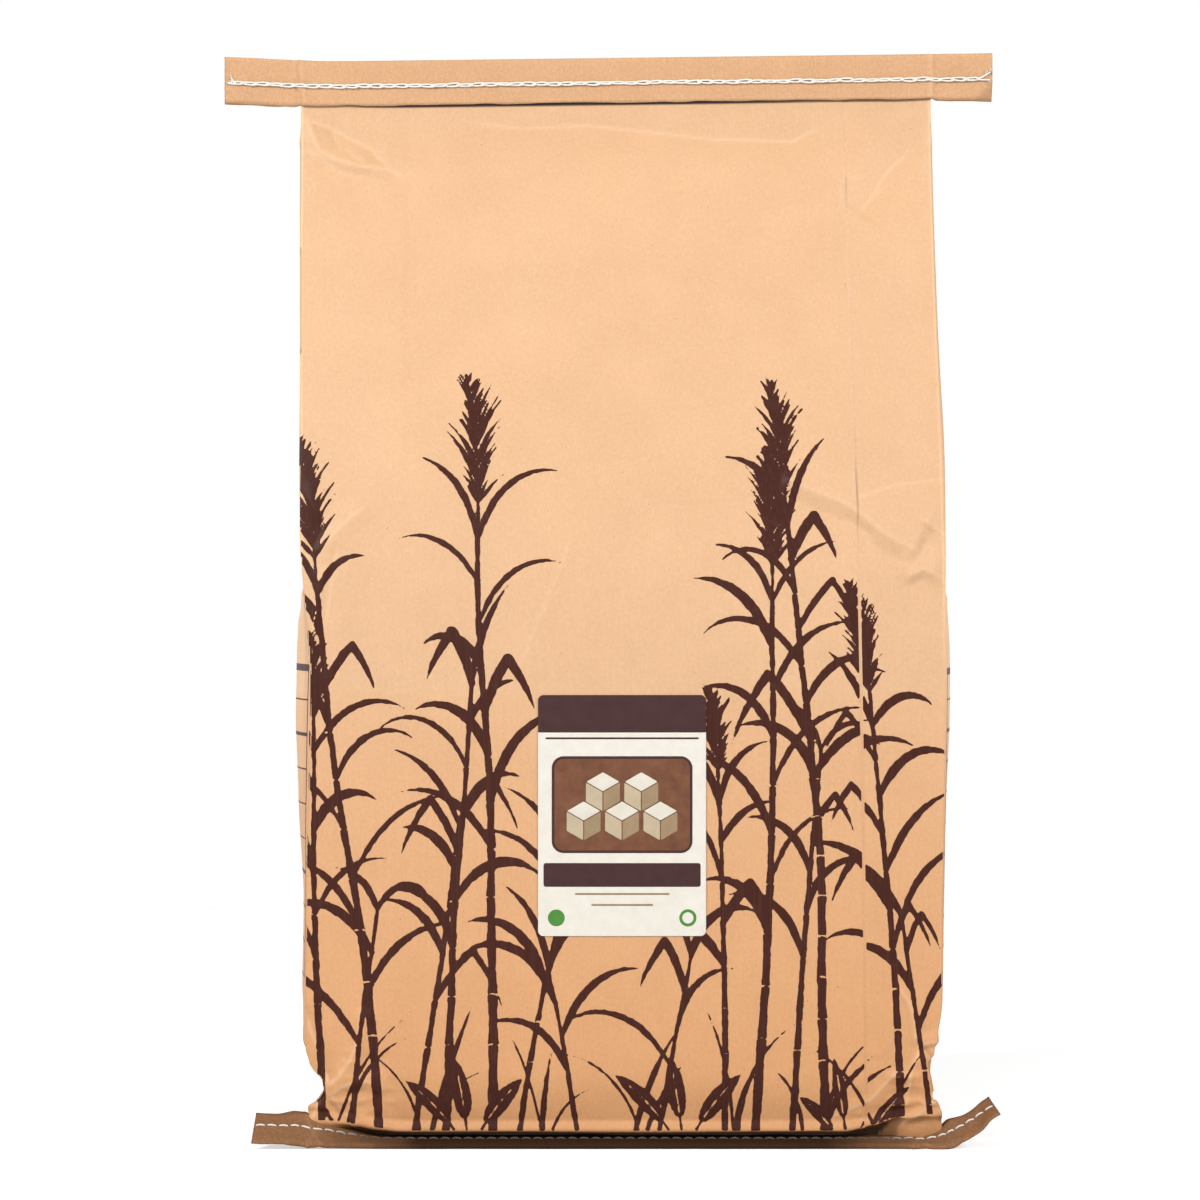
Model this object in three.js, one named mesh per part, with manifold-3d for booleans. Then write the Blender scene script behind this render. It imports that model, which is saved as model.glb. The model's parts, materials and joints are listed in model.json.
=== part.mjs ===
// A sewn kraft paper sack of sugar with side gussets, standing on its base.
// Millimetres, +Z up. The front faces -Y and the origin is the middle of the base, on the floor.
import * as THREE from 'three';
import * as BufferGeometryUtils from 'three/addons/utils/BufferGeometryUtils.js';
import Module from 'manifold-3d';

const wasm = await Module();
wasm.setup();

// Driving dimensions
const faceWidth = 355.6;
const gussetDepth = 118;
const mouthHeight = 604.5;
const mouthShift = -3.9;
const shiftFrom = 250;
const tapeHeight = 25.4;
const tapeWall = 0.6;
const sheetGap = 0.3;
const flatSackHalf = 0.8;
const topEarLeft = 43.2;
const topEarRight = 34.8;
const bottomEarLeft = 25.5;
const bottomEarRight = 33;
const earHalf = 0.75;
const stitchInset = 14.5;
const chainHalfHeight = 1.2;
const chainHalfDepth = 0.6;
const needleRadius = 0.5;
const threadTailLeft = 1;
const threadTailRight = 2;
const liftLeft = 2.3;
const liftLeftFrom = 172;
const liftLeftRun = 53;
const liftRight = 4.4;
const liftRightFrom = -150;
const liftRightRun = 359;
const liftStart = 480;
const labelWidth = 92;
const labelHeight = 132;
const labelCentreX = -0.8;
const labelBaseZ = 116;
const labelThickness = 0.3;
const labelGap = 0.4;
const labelCornerRadius = 3;

// Worked out from the driving dimensions
const halfWidth = faceWidth / 2;
const earThinFrom = halfWidth + 1;
const earThinTo = halfWidth + 14;
const tapeHalf = flatSackHalf + sheetGap + tapeWall;
const channelHalf = flatSackHalf + sheetGap;
const tapeBottom = mouthHeight - tapeHeight;
const sackTop = mouthHeight - tapeWall - sheetGap;

// Profiles up the sack as [height, value]. Edge depth is from front fold to back fold.
const edgeDepthKnots = [
  [0, 104], [14, 112], [40, 116.5], [120, 117.5], [240, 117.5], [300, 113], [350, 100],
  [400, 80], [450, 57], [500, 35], [540, 17], [566, 5], [tapeBottom - 1, 2 * flatSackHalf],
  [mouthHeight, 2 * flatSackHalf],
];
const bulgeKnots = [
  [0, 2], [14, 4], [40, 7], [120, 9], [240, 10], [310, 10.5], [360, 10], [410, 8.5], [460, 6.5],
  [510, 4], [545, 2], [tapeBottom - 1, 0], [mouthHeight, 0],
];
// How far each gusset's middle is pulled in. Below zero it swells outwards.
const pleatLeftKnots = [
  [0, 16], [16, 13], [34, 8], [46, 0], [56, -4], [76, -4], [130, -3.5], [187, -7.5], [232, -9.8],
  [266, -8.8], [298, -4.5], [322, 8], [345, 28],
];
const pleatRightKnots = [
  [0, 16], [16, 13], [34, 8], [60, 0], [100, -3], [187, -4.5], [232, -6], [266, -5.6], [298, -4],
  [320, 8], [345, 28],
];
const pleatFormulaFrom = 345;
const pleatClosedDepth = 3;
const pleatOpenDepth = 22;
// Insets of the side folds: the waist above the lower seam, and the full lower half
const insetLeftKnots = [
  [0, 3], [11, 4.5], [16, 5], [21, 8], [29, 12.6], [34, 11], [40, 6.6], [46, 4.4], [52, 3.2],
  [80, 3], [150, 3.6], [220, 5.8], [262, 6.4], [300, 2.5], [330, 0],
];
const insetRightKnots = [
  [0, 2], [9, 2], [14, 4.2], [18, 8], [25, 6.2], [31, 7.2], [38, 8.4], [45, 7.6], [51, 6.2],
  [58, 5], [80, 2.2], [130, 2], [187, 1.2], [232, 0.8], [320, 0],
];
const insetBackKnots = [[0, 26], [6, 17], [16, 10], [36, 4.5], [60, 1], [80, 0]];
const pillowPower = 2.6;

// The base: the front panel overhangs the lower seam in a crease
const lowerZone = 60;
const creaseHeight = 7.8;
const creaseLeftRise = 5.2;
const creaseRightRise = 8.5;
const creaseCornerFrom = 118;
const creaseCornerRun = 48;
const creaseDepth = 57;
const creaseBulge = 4;
const underCreaseRise = 0.4;
const underCreaseDepth = 48;
const baseBulge = 1;
const flatFrontDepth = 44;
const flatInsetLeft = 14;
const flatInsetRight = 12;
const flatBackDepth = 42;
const creaseBackHeight = 6;
const creaseBackDepth = 55;
const underBackHeight = 1.6;
const underBackDepth = 50;
const basePleat = 12;

// The lower seam: its fold lies on the floor in front, and its ears spring up
const seamFrontY = -75;
const seamTilt = THREE.MathUtils.degToRad(2.5);
const leftEarTilt = THREE.MathUtils.degToRad(29.5);
const rightEarTilt = THREE.MathUtils.degToRad(15.5);
const leftEarRise = THREE.MathUtils.degToRad(3);
const rightEarRise = THREE.MathUtils.degToRad(32);
const leftTwistFrom = 130;
const leftTwistRun = 52;
const rightTwistFrom = 164;
const rightTwistRun = 22;
const earBendFrom = 171.5;
const earBendRun = 15;
const tongueRoot = 6;
const mouthRoot = 6;
const mouthSteps = 46;
const tapeSteps = 56;

function smooth(low, high, value) {
  const t = Math.min(1, Math.max(0, (value - low) / (high - low)));
  return t * t * (3 - 2 * t);
}

// Cubic through the knots, with each slope held so that the curve doesn't overshoot
function profile(knots, at) {
  const last = knots.length - 1;
  if (at <= knots[0][0]) return knots[0][1];
  if (at >= knots[last][0]) return knots[last][1];
  let i = 0;
  while (at > knots[i + 1][0]) i += 1;
  const slopeOf = (k) => (knots[k + 1][1] - knots[k][1]) / (knots[k + 1][0] - knots[k][0]);
  const tangent = (k) => {
    if (k === 0) return slopeOf(0);
    if (k === last) return slopeOf(last - 1);
    const before = slopeOf(k - 1);
    const after = slopeOf(k);
    return before * after <= 0 ? 0 : (2 * before * after) / (before + after);
  };
  const run = knots[i + 1][0] - knots[i][0];
  const t = (at - knots[i][0]) / run;
  const h1 = t * t * (3 - 2 * t);
  const h2 = t * (1 - t) * (1 - t);
  const h3 = t * t * (t - 1);
  return knots[i][1] * (1 - h1) + knots[i + 1][1] * h1 + run * (h2 * tangent(i) + h3 * tangent(i + 1));
}

// The sewn mouth sags a little in the middle, and its right end stands higher
function mouthLift(x) {
  const left = Math.min(1, Math.max(0, (-x - liftLeftFrom) / liftLeftRun));
  const right = Math.min(1, Math.max(0, (x - liftRightFrom) / liftRightRun));
  return liftLeft * left + liftRight * right;
}

function liftAt(x, z) {
  return mouthLift(x) * smooth(liftStart, tapeBottom, z);
}

function centreX(z) {
  return mouthShift * smooth(shiftFrom, tapeBottom, z);
}

function pleatIn(knots, height, depth) {
  const half = gussetDepth / 2;
  const folded = Math.sqrt(Math.max(0, half * half - (depth * depth) / 4));
  const open = smooth(pleatClosedDepth, pleatOpenDepth, depth);
  return height < pleatFormulaFrom ? profile(knots, height) : folded * open;
}

function creaseZ(x) {
  const corner = smooth(creaseCornerFrom, creaseCornerFrom + creaseCornerRun, Math.abs(x));
  return creaseHeight + (x < 0 ? creaseLeftRise : creaseRightRise) * corner;
}

function pillow(u) {
  return 1 - Math.abs(2 * u - 1) ** pillowPower;
}

// Depth of the front panel's outer face at a place on it
function frontY(x, z) {
  const u = (x - centreX(z) + halfWidth) / faceWidth;
  return -profile(edgeDepthKnots, z) / 2 - profile(bulgeKnots, z) * pillow(u);
}

// One ring of the sack: front panel left to right, right gusset, back panel, left gusset
const frontSteps = 24;
const gussetSteps = 8;
const backSteps = 16;

function ring(s) {
  const points = [];
  const gusset = (from, to, inward, pleat) => {
    for (let i = 1; i < gussetSteps; i += 1) {
      const v = i / gussetSteps;
      const fold = pleat > 0 ? 1 - Math.abs(2 * v - 1) : 1 - (2 * v - 1) ** 2;
      const p = from.clone().lerp(to, v);
      p.x += inward * pleat * fold;
      points.push(p);
    }
  };
  const panel = (from, to, steps, outward, bulge, heightAt) => {
    for (let i = 0; i <= steps; i += 1) {
      const u = i / steps;
      const p = from.clone().lerp(to, u);
      p.y += outward * bulge * pillow(u);
      p.z = heightAt(p.x);
      points.push(p);
    }
  };
  const cx = centreX(s.backZ);
  const corner = (x, y, heightAt) => new THREE.Vector3(x, y, heightAt(x));
  const frontHeight = (x) => s.frontZ(x) + liftAt(x, s.frontZ(x));
  const backHeight = (x) => s.backZ + liftAt(x, s.backZ);
  const frontLeft = corner(cx - halfWidth + s.insetLeft, -s.frontDepth, frontHeight);
  const frontRight = corner(cx + halfWidth - s.insetRight, -s.frontDepth, frontHeight);
  const backRight = corner(cx + halfWidth - s.insetBack, s.backDepth, backHeight);
  const backLeft = corner(cx - halfWidth + s.insetBack, s.backDepth, backHeight);
  panel(frontLeft, frontRight, frontSteps, -1, s.frontBulge, frontHeight);
  gusset(frontRight, backRight, -1, s.pleatRight);
  panel(backRight, backLeft, backSteps, 1, s.backBulge, backHeight);
  gusset(backLeft, frontLeft, 1, s.pleatLeft);
  return points;
}

function stationAt(height) {
  const depth = profile(edgeDepthKnots, height);
  const bulge = profile(bulgeKnots, height);
  const lower = height < lowerZone;
  const frontZ = (x) => (lower
    ? lowerZone - ((lowerZone - height) * (lowerZone - creaseZ(x))) / (lowerZone - creaseHeight)
    : height);
  return {
    frontZ,
    backZ: height,
    frontDepth: depth / 2,
    backDepth: depth / 2,
    frontBulge: bulge,
    backBulge: bulge,
    insetLeft: profile(insetLeftKnots, height),
    insetRight: profile(insetRightKnots, height),
    insetBack: profile(insetBackKnots, height),
    pleatLeft: pleatIn(pleatLeftKnots, height, depth),
    pleatRight: pleatIn(pleatRightKnots, height, depth),
  };
}

// The three lowest rings: flat on the floor, tucked back over the seam, and the overhanging crease
function baseStations() {
  const crease = stationAt(creaseHeight);
  crease.frontZ = creaseZ;
  crease.frontDepth = creaseDepth;
  crease.frontBulge = creaseBulge;
  crease.backZ = creaseBackHeight;
  crease.backDepth = creaseBackDepth;
  const under = stationAt(creaseBackHeight / 2);
  under.frontZ = (x) => creaseZ(x) + underCreaseRise;
  under.frontDepth = underCreaseDepth;
  under.frontBulge = baseBulge;
  under.backZ = underBackHeight;
  under.backDepth = underBackDepth;
  under.pleatLeft = basePleat;
  under.pleatRight = basePleat;
  const flat = stationAt(0);
  flat.frontZ = () => 0;
  flat.frontDepth = flatFrontDepth;
  flat.frontBulge = baseBulge;
  flat.insetLeft = flatInsetLeft;
  flat.insetRight = flatInsetRight;
  flat.backDepth = flatBackDepth;
  flat.pleatLeft = basePleat;
  flat.pleatRight = basePleat;
  return [flat, under, crease];
}

function closedGeometry(positions, triangles) {
  const geometry = new THREE.BufferGeometry();
  geometry.setAttribute('position', new THREE.Float32BufferAttribute(positions, 3));
  geometry.setIndex(triangles);
  return geometry;
}

// Skin over a stack of rings with as many points each, closed by a fan at both ends
function loft(rings) {
  const count = rings[0].length;
  const positions = rings.flatMap((points) => points.flatMap((p) => [p.x, p.y, p.z]));
  const triangles = [];
  for (let j = 0; j + 1 < rings.length; j += 1) {
    for (let i = 0; i < count; i += 1) {
      const a = j * count + i;
      const b = j * count + ((i + 1) % count);
      triangles.push(a, b, b + count, a, b + count, a + count);
    }
  }
  const cap = (points, first, flip) => {
    const middle = points.reduce((sum, p) => sum.add(p), new THREE.Vector3()).divideScalar(count);
    positions.push(middle.x, middle.y, middle.z);
    const centre = positions.length / 3 - 1;
    for (let i = 0; i < count; i += 1) {
      const a = first + i;
      const b = first + ((i + 1) % count);
      triangles.push(...(flip ? [b, a, centre] : [a, b, centre]));
    }
  };
  cap(rings[0], 0, true);
  cap(rings[rings.length - 1], (rings.length - 1) * count, false);
  return closedGeometry(positions, triangles);
}

function toManifold(geometry) {
  const bare = geometry.clone();
  bare.deleteAttribute('normal');
  bare.deleteAttribute('uv');
  const merged = BufferGeometryUtils.mergeVertices(bare, 1e-4);
  return new wasm.Manifold(new wasm.Mesh({
    numProp: 3,
    vertProperties: new Float32Array(merged.attributes.position.array),
    triVerts: new Uint32Array(merged.index.array),
  }));
}

function fromManifold(solid) {
  const mesh = solid.getMesh();
  return closedGeometry(Array.from(mesh.vertProperties), Array.from(mesh.triVerts));
}

// Where the lower seam runs: its fold at w = 0, its raw edge at w = tapeHeight, n up from its middle
function seamFrame(x) {
  const leftTwist = smooth(leftTwistFrom, leftTwistFrom + leftTwistRun, -x);
  const rightTwist = smooth(rightTwistFrom, rightTwistFrom + rightTwistRun, x);
  const bend = (side) => smooth(earBendFrom, earBendFrom + earBendRun, side * x);
  return {
    tilt: seamTilt + leftEarTilt * leftTwist + rightEarTilt * rightTwist,
    rise: rightEarRise * bend(1) - leftEarRise * bend(-1),
  };
}

function tapeHalfAt(x, middle) {
  return tapeHalf - (tapeHalf - earHalf) * smooth(earThinFrom, earThinTo, Math.abs(x - middle));
}

const seamStart = -halfWidth - bottomEarLeft;
const seamLength = faceWidth + bottomEarLeft + bottomEarRight;
const earStep = 2.8;
const middleStep = leftTwistFrom / 10;

// The fold's line, walked outwards from the middle so that it keeps its length as it bends
function seamPath() {
  const step = earStep / 2;
  const walk = (direction, length) => {
    const line = [];
    let x = 0;
    let z = 0;
    for (let s = 0; s <= length + step; s += step) {
      line.push({ s: direction * s, x, z });
      const { rise } = seamFrame(direction * s);
      x += direction * Math.cos(rise) * step;
      z += direction * Math.sin(rise) * step;
    }
    return line;
  };
  return [...walk(-1, -seamStart).reverse(), ...walk(1, seamLength + seamStart).slice(1)];
}

const seamLine = seamPath();

// Stations shared by every strip along the seam: close together only where it bends
function seamStations() {
  const stops = [];
  for (let s = 0; s < leftTwistFrom - 1; s += middleStep) stops.push(s);
  for (let s = leftTwistFrom; s < halfWidth + bottomEarRight; s += earStep) stops.push(s);
  return [...stops.slice(1).map((s) => -s).reverse(), ...stops];
}

const seamStops = seamStations();

function seamPoint(s, w, n) {
  const i = Math.max(1, seamLine.findIndex((p) => p.s >= s));
  const a = seamLine[i - 1];
  const b = seamLine[i];
  const t = (s - a.s) / (b.s - a.s);
  const { tilt, rise } = seamFrame(s);
  const flatAcross = new THREE.Vector3(0, Math.cos(tilt), Math.sin(tilt));
  const across = flatAcross.applyAxisAngle(new THREE.Vector3(0, 1, 0), -rise);
  const along = new THREE.Vector3(Math.cos(rise), 0, Math.sin(rise));
  const up = along.clone().cross(across);
  const fold = new THREE.Vector3(a.x + (b.x - a.x) * t, seamFrontY, a.z + (b.z - a.z) * t + tapeHalf);
  return fold.addScaledVector(across, w).addScaledVector(up, n);
}

// A solid strip in the seam's own frame, from w0 to w1 and as thick as halfAt says
function seamStrip(from, to, w0, w1, halfAt, noseCut) {
  const between = seamStops.filter((s) => s > from + 1 && s < to - 1);
  const rings = [];
  [from, ...between, to].forEach((s) => {
    const half = halfAt(s);
    const nose = noseCut * half;
    rings.push([
      seamPoint(s, w1, -half),
      seamPoint(s, w1, half),
      seamPoint(s, w0 + nose, half),
      seamPoint(s, w0, half - nose),
      seamPoint(s, w0, nose - half),
      seamPoint(s, w0 + nose, -half),
    ]);
  });
  return toManifold(loft(rings));
}

// Heights of the rings: close together at the waist and where the pleats open
const lowerHeights = [
  14, 18, 24, 29, 35, 41, 48, 58, 74, 96, 124, 152, 180, 208, 236, 262, 282, 296, 307, 318, 328, 338,
];
const upperFrom = 349;
const upperStep = 15;

function makeSack() {
  const heights = [...lowerHeights];
  for (let z = upperFrom; z < tapeBottom - 2; z += upperStep) heights.push(z);
  heights.push(tapeBottom - 1);
  const body = toManifold(loft([...baseStations(), ...heights.map(stationAt)].map(ring)));
  const seamRoom = seamStrip(
    seamStart, seamStart + seamLength, 0, tapeHeight + sheetGap,
    (s) => tapeHalfAt(s, 0) + sheetGap, 0,
  );
  const tongue = seamStrip(
    -halfWidth + sheetGap, halfWidth - sheetGap, tapeWall + sheetGap, tapeHeight + tongueRoot,
    () => flatSackHalf, 0,
  );
  const mouth = mouthStrip(
    mouthShift - halfWidth, mouthShift + halfWidth, mouthSteps,
    tapeBottom - mouthRoot, sackTop, () => flatSackHalf,
  );
  return fromManifold(body.subtract(seamRoom).add(tongue).add(mouth));
}

// A solid strip along the mouth, between two heights and as thick as halfAt says
function mouthStrip(from, to, steps, low, high, halfAt) {
  const rings = [];
  for (let i = 0; i <= steps; i += 1) {
    const x = from + ((to - from) * i) / steps;
    const half = halfAt(x);
    const lift = mouthLift(x);
    rings.push([
      new THREE.Vector3(x, half, low + lift),
      new THREE.Vector3(x, half, high + lift),
      new THREE.Vector3(x, -half, high + lift),
      new THREE.Vector3(x, -half, low + lift),
    ]);
  }
  return toManifold(loft(rings));
}

// A folded strip over the mouth: a solid band with the slot that the sack's flat top fills
function makeTopTape() {
  const from = mouthShift - halfWidth - topEarLeft;
  const to = mouthShift + halfWidth + topEarRight;
  const band = mouthStrip(from, to, tapeSteps, tapeBottom, mouthHeight, (x) => tapeHalfAt(x, mouthShift));
  const slotReach = halfWidth + sheetGap;
  const slot = mouthStrip(
    mouthShift - slotReach, mouthShift + slotReach, mouthSteps,
    tapeBottom - 1, mouthHeight - tapeWall, () => channelHalf,
  );
  return fromManifold(band.subtract(slot));
}

function makeBottomTape() {
  const end = seamStart + seamLength;
  const band = seamStrip(seamStart, end, 0, tapeHeight, (s) => tapeHalfAt(s, 0), 0.5);
  const slotReach = halfWidth + sheetGap;
  const slot = seamStrip(-slotReach, slotReach, tapeWall, tapeHeight + 1, () => channelHalf, 0);
  return fromManifold(band.subtract(slot));
}

// A thread run: an oval section carried along, placed by what placeAt says of (along, across, up)
function threadRun(stops, halfAcross, halfUp, placeAt) {
  const sides = 6;
  const rings = stops.map((s) => {
    const points = [];
    for (let k = 0; k < sides; k += 1) {
      const angle = (2 * Math.PI * (k + 0.5)) / sides;
      points.push(placeAt(s, halfAcross * Math.cos(angle), halfUp * Math.sin(angle)));
    }
    return points;
  });
  return loft(rings);
}

// Thread beside the top tape, in front (side -1) or behind (side 1)
function makeTopThread(side, halfDepth, halfHeight) {
  const from = mouthShift - halfWidth - topEarLeft - threadTailLeft;
  const to = mouthShift + halfWidth + topEarRight + threadTailRight;
  const stops = Array.from({ length: tapeSteps + 1 }, (_, i) => from + ((to - from) * i) / tapeSteps);
  return threadRun(stops, halfDepth, halfHeight, (x, across, up) => {
    const y = side * (tapeHalfAt(x, mouthShift) + sheetGap + halfDepth) + across;
    return new THREE.Vector3(x, y, mouthHeight - stitchInset + mouthLift(x) + up);
  });
}

// Thread on the lower tape, on its upper face (side 1) or its under face (side -1)
function makeBottomThread(side, halfDepth, halfWide) {
  const stops = [seamStart, ...seamStops.filter((s) => s > seamStart + 1), seamStart + seamLength];
  return threadRun(stops, halfWide, halfDepth, (s, across, up) => (
    seamPoint(s, stitchInset + across, side * (tapeHalfAt(s, 0) + sheetGap + halfDepth) + up)));
}

// A thin sheet that follows the front panel, with its four corners taken round
function makeLabel() {
  const columns = 12;
  const rows = 16;
  const r = labelCornerRadius;
  const spread = (i, count, size) => {
    if (i === 0) return 0;
    if (i === count) return size;
    return r + ((size - 2 * r) * (i - 1)) / (count - 2);
  };
  const pull = r * (1 - Math.SQRT1_2);
  const face = (offset) => {
    const points = [];
    for (let j = 0; j <= rows; j += 1) {
      for (let i = 0; i <= columns; i += 1) {
        const isCorner = (i === 0 || i === columns) && (j === 0 || j === rows);
        const tuck = isCorner ? pull : 0;
        const x = labelCentreX - labelWidth / 2 + spread(i, columns, labelWidth) + (i === 0 ? tuck : -tuck);
        const z = labelBaseZ + spread(j, rows, labelHeight) + (j === 0 ? tuck : -tuck);
        points.push(x, frontY(x, z) - offset, z);
      }
    }
    return points;
  };
  const positions = [...face(labelGap), ...face(labelGap + labelThickness)];
  const behind = (columns + 1) * (rows + 1);
  const at = (i, j) => j * (columns + 1) + i;
  const triangles = [];
  for (let j = 0; j < rows; j += 1) {
    for (let i = 0; i < columns; i += 1) {
      const [a, b, c, d] = [at(i, j), at(i + 1, j), at(i + 1, j + 1), at(i, j + 1)];
      triangles.push(a, c, b, a, d, c);
      triangles.push(...[a, b, c, a, c, d].map((k) => behind + k));
    }
  }
  const rim = [];
  for (let i = 0; i < columns; i += 1) rim.push(at(i, 0));
  for (let j = 0; j < rows; j += 1) rim.push(at(columns, j));
  for (let i = columns; i > 0; i -= 1) rim.push(at(i, rows));
  for (let j = rows; j > 0; j -= 1) rim.push(at(0, j));
  rim.forEach((a, k) => {
    const b = rim[(k + 1) % rim.length];
    triangles.push(a, b, behind + b, a, behind + b, behind + a);
  });
  return closedGeometry(positions, triangles);
}

const finishes = {
  kraft: { color: 0xd9a876, roughness: 0.82 },
  tape: { color: 0xc99c6e, roughness: 0.9 },
  thread: { color: 0xf4f0e8, roughness: 0.85 },
  label: { color: 0xf1e9da, roughness: 0.45 },
};

const sugarSack = new THREE.Group();

function addPiece(name, geometry, finish) {
  const shown = geometry.index ? geometry.toNonIndexed() : geometry;
  shown.computeVertexNormals();
  const material = new THREE.MeshStandardMaterial({ ...finishes[finish], metalness: 0 });
  const piece = new THREE.Mesh(shown, material);
  piece.name = name;
  sugarSack.add(piece);
}

addPiece('sack', makeSack(), 'kraft');
addPiece('top_tape', makeTopTape(), 'tape');
addPiece('bottom_tape', makeBottomTape(), 'tape');
addPiece('top_chain_thread', makeTopThread(-1, chainHalfDepth, chainHalfHeight), 'thread');
addPiece('top_needle_thread', makeTopThread(1, needleRadius, needleRadius), 'thread');
addPiece('bottom_needle_thread', makeBottomThread(1, needleRadius, needleRadius), 'thread');
addPiece('bottom_chain_thread', makeBottomThread(-1, chainHalfDepth, chainHalfHeight), 'thread');
addPiece('label', makeLabel(), 'label');

export default sugarSack;
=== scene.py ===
# A sewn kraft paper sack of sugar: paper skin, print, tape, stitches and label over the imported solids.
import bpy
import math
import numpy as np
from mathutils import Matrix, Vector
from mathutils.bvhtree import BVHTree
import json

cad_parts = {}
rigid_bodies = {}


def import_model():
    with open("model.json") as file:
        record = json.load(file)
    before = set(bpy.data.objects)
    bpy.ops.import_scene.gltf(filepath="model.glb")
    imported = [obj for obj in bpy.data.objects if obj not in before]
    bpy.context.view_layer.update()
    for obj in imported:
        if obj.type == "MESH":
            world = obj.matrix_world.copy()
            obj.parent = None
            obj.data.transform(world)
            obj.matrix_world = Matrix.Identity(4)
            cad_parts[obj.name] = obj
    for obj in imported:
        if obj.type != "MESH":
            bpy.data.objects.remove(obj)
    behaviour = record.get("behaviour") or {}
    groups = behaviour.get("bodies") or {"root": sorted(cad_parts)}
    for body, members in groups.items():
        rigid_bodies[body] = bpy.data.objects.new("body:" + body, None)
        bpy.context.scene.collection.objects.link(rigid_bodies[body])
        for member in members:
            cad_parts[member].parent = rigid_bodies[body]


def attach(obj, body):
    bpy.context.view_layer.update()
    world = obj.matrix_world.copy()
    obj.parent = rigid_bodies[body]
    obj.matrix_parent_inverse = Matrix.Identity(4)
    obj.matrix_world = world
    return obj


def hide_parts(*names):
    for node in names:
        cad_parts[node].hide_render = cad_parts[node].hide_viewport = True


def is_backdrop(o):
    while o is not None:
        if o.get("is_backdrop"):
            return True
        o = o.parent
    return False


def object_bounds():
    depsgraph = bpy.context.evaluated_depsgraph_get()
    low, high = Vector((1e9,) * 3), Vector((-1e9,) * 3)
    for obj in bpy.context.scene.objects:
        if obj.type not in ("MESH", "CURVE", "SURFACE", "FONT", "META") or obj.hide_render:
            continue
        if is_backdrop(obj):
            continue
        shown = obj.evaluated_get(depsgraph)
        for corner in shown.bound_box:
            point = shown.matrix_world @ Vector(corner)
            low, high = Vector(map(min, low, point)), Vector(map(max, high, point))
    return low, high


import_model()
cad_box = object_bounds()
MM = 0.001

# Sizes in millimetres, as in the part's source
FACE_WIDTH = 355.6
HALF_WIDTH = FACE_WIDTH / 2
GUSSET_DEPTH = 118.0
MOUTH_HEIGHT = 604.5
MOUTH_SHIFT = -3.9
SHIFT_FROM = 250.0
TAPE_HEIGHT = 25.4
TAPE_BOTTOM = MOUTH_HEIGHT - TAPE_HEIGHT
TAPE_WALL = 0.6
SHEET_GAP = 0.3
FLAT_HALF = 0.8
TAPE_HALF = FLAT_HALF + SHEET_GAP + TAPE_WALL
EAR_HALF = 0.75
TOP_EAR_LEFT = 43.2
TOP_EAR_RIGHT = 34.8
BOTTOM_EAR_LEFT = 25.5
BOTTOM_EAR_RIGHT = 33.0
STITCH_INSET = 14.5
LIFT_LEFT, LIFT_LEFT_FROM, LIFT_LEFT_RUN = 2.3, 172.0, 53.0
LIFT_RIGHT, LIFT_RIGHT_FROM, LIFT_RIGHT_RUN = 4.4, -150.0, 359.0
LIFT_START = 480.0

# Profiles up the sack as (height, value)
EDGE_DEPTH = [
    (0, 104), (14, 112), (40, 116.5), (120, 117.5), (240, 117.5), (300, 113), (350, 100),
    (400, 80), (450, 57), (500, 35), (540, 17), (566, 5), (TAPE_BOTTOM - 1, 1.6), (MOUTH_HEIGHT, 1.6),
]
BULGE = [
    (0, 2), (14, 4), (40, 7), (120, 9), (240, 10), (310, 10.5), (360, 10), (410, 8.5), (460, 6.5),
    (510, 4), (545, 2), (TAPE_BOTTOM - 1, 0), (MOUTH_HEIGHT, 0),
]
PLEAT_LEFT = [
    (0, 16), (16, 13), (34, 8), (46, 0), (56, -4), (76, -4), (130, -3.5), (187, -7.5), (232, -9.8),
    (266, -8.8), (298, -4.5), (322, 8), (345, 28),
]
PLEAT_RIGHT = [
    (0, 16), (16, 13), (34, 8), (60, 0), (100, -3), (187, -4.5), (232, -6), (266, -5.6), (298, -4),
    (320, 8), (345, 28),
]
PLEAT_FORMULA_FROM = 345
INSET_LEFT = [
    (0, 3), (11, 4.5), (16, 5), (21, 8), (29, 12.6), (34, 11), (40, 6.6), (46, 4.4), (52, 3.2),
    (80, 3), (150, 3.6), (220, 5.8), (262, 6.4), (300, 2.5), (330, 0),
]
INSET_RIGHT = [
    (0, 2), (9, 2), (14, 4.2), (18, 8), (25, 6.2), (31, 7.2), (38, 8.4), (45, 7.6), (51, 6.2),
    (58, 5), (80, 2.2), (130, 2), (187, 1.2), (232, 0.8), (320, 0),
]
INSET_BACK = [(0, 26), (6, 17), (16, 10), (36, 4.5), (60, 1), (80, 0)]
PILLOW_POWER = 2.6

LOWER_ZONE = 60.0
CREASE_HEIGHT = 7.8
CREASE_LEFT_RISE = 5.2
CREASE_RIGHT_RISE = 8.5
CREASE_CORNER_FROM = 118.0
CREASE_CORNER_RUN = 48.0

# The lower seam
SEAM_FRONT_Y = -75.0
SEAM_TILT = math.radians(2.5)
LEFT_EAR_TILT = math.radians(29.5)
RIGHT_EAR_TILT = math.radians(15.5)
LEFT_EAR_RISE = math.radians(3)
RIGHT_EAR_RISE = math.radians(32)
LEFT_TWIST = (130.0, 182.0)
RIGHT_TWIST = (164.0, 186.0)
EAR_BEND = (171.5, 186.5)

# The lengthwise glued seam on the front: its place at the top and at the bottom
GLUE_SEAM_TOP = 123.8
GLUE_SEAM_BOTTOM = 133.1
GLUE_STEP = 0.35
# The edge of the flap at the lower right corner: right of it the painted shade under the tuck is mostly left
# out, so the flap looks lit
FLAP_X = 149
FLAP_LEAN = 1.1


def smooth(low, high, value):
    t = np.clip((value - low) / (high - low), 0.0, 1.0)
    return t * t * (3 - 2 * t)


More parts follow.
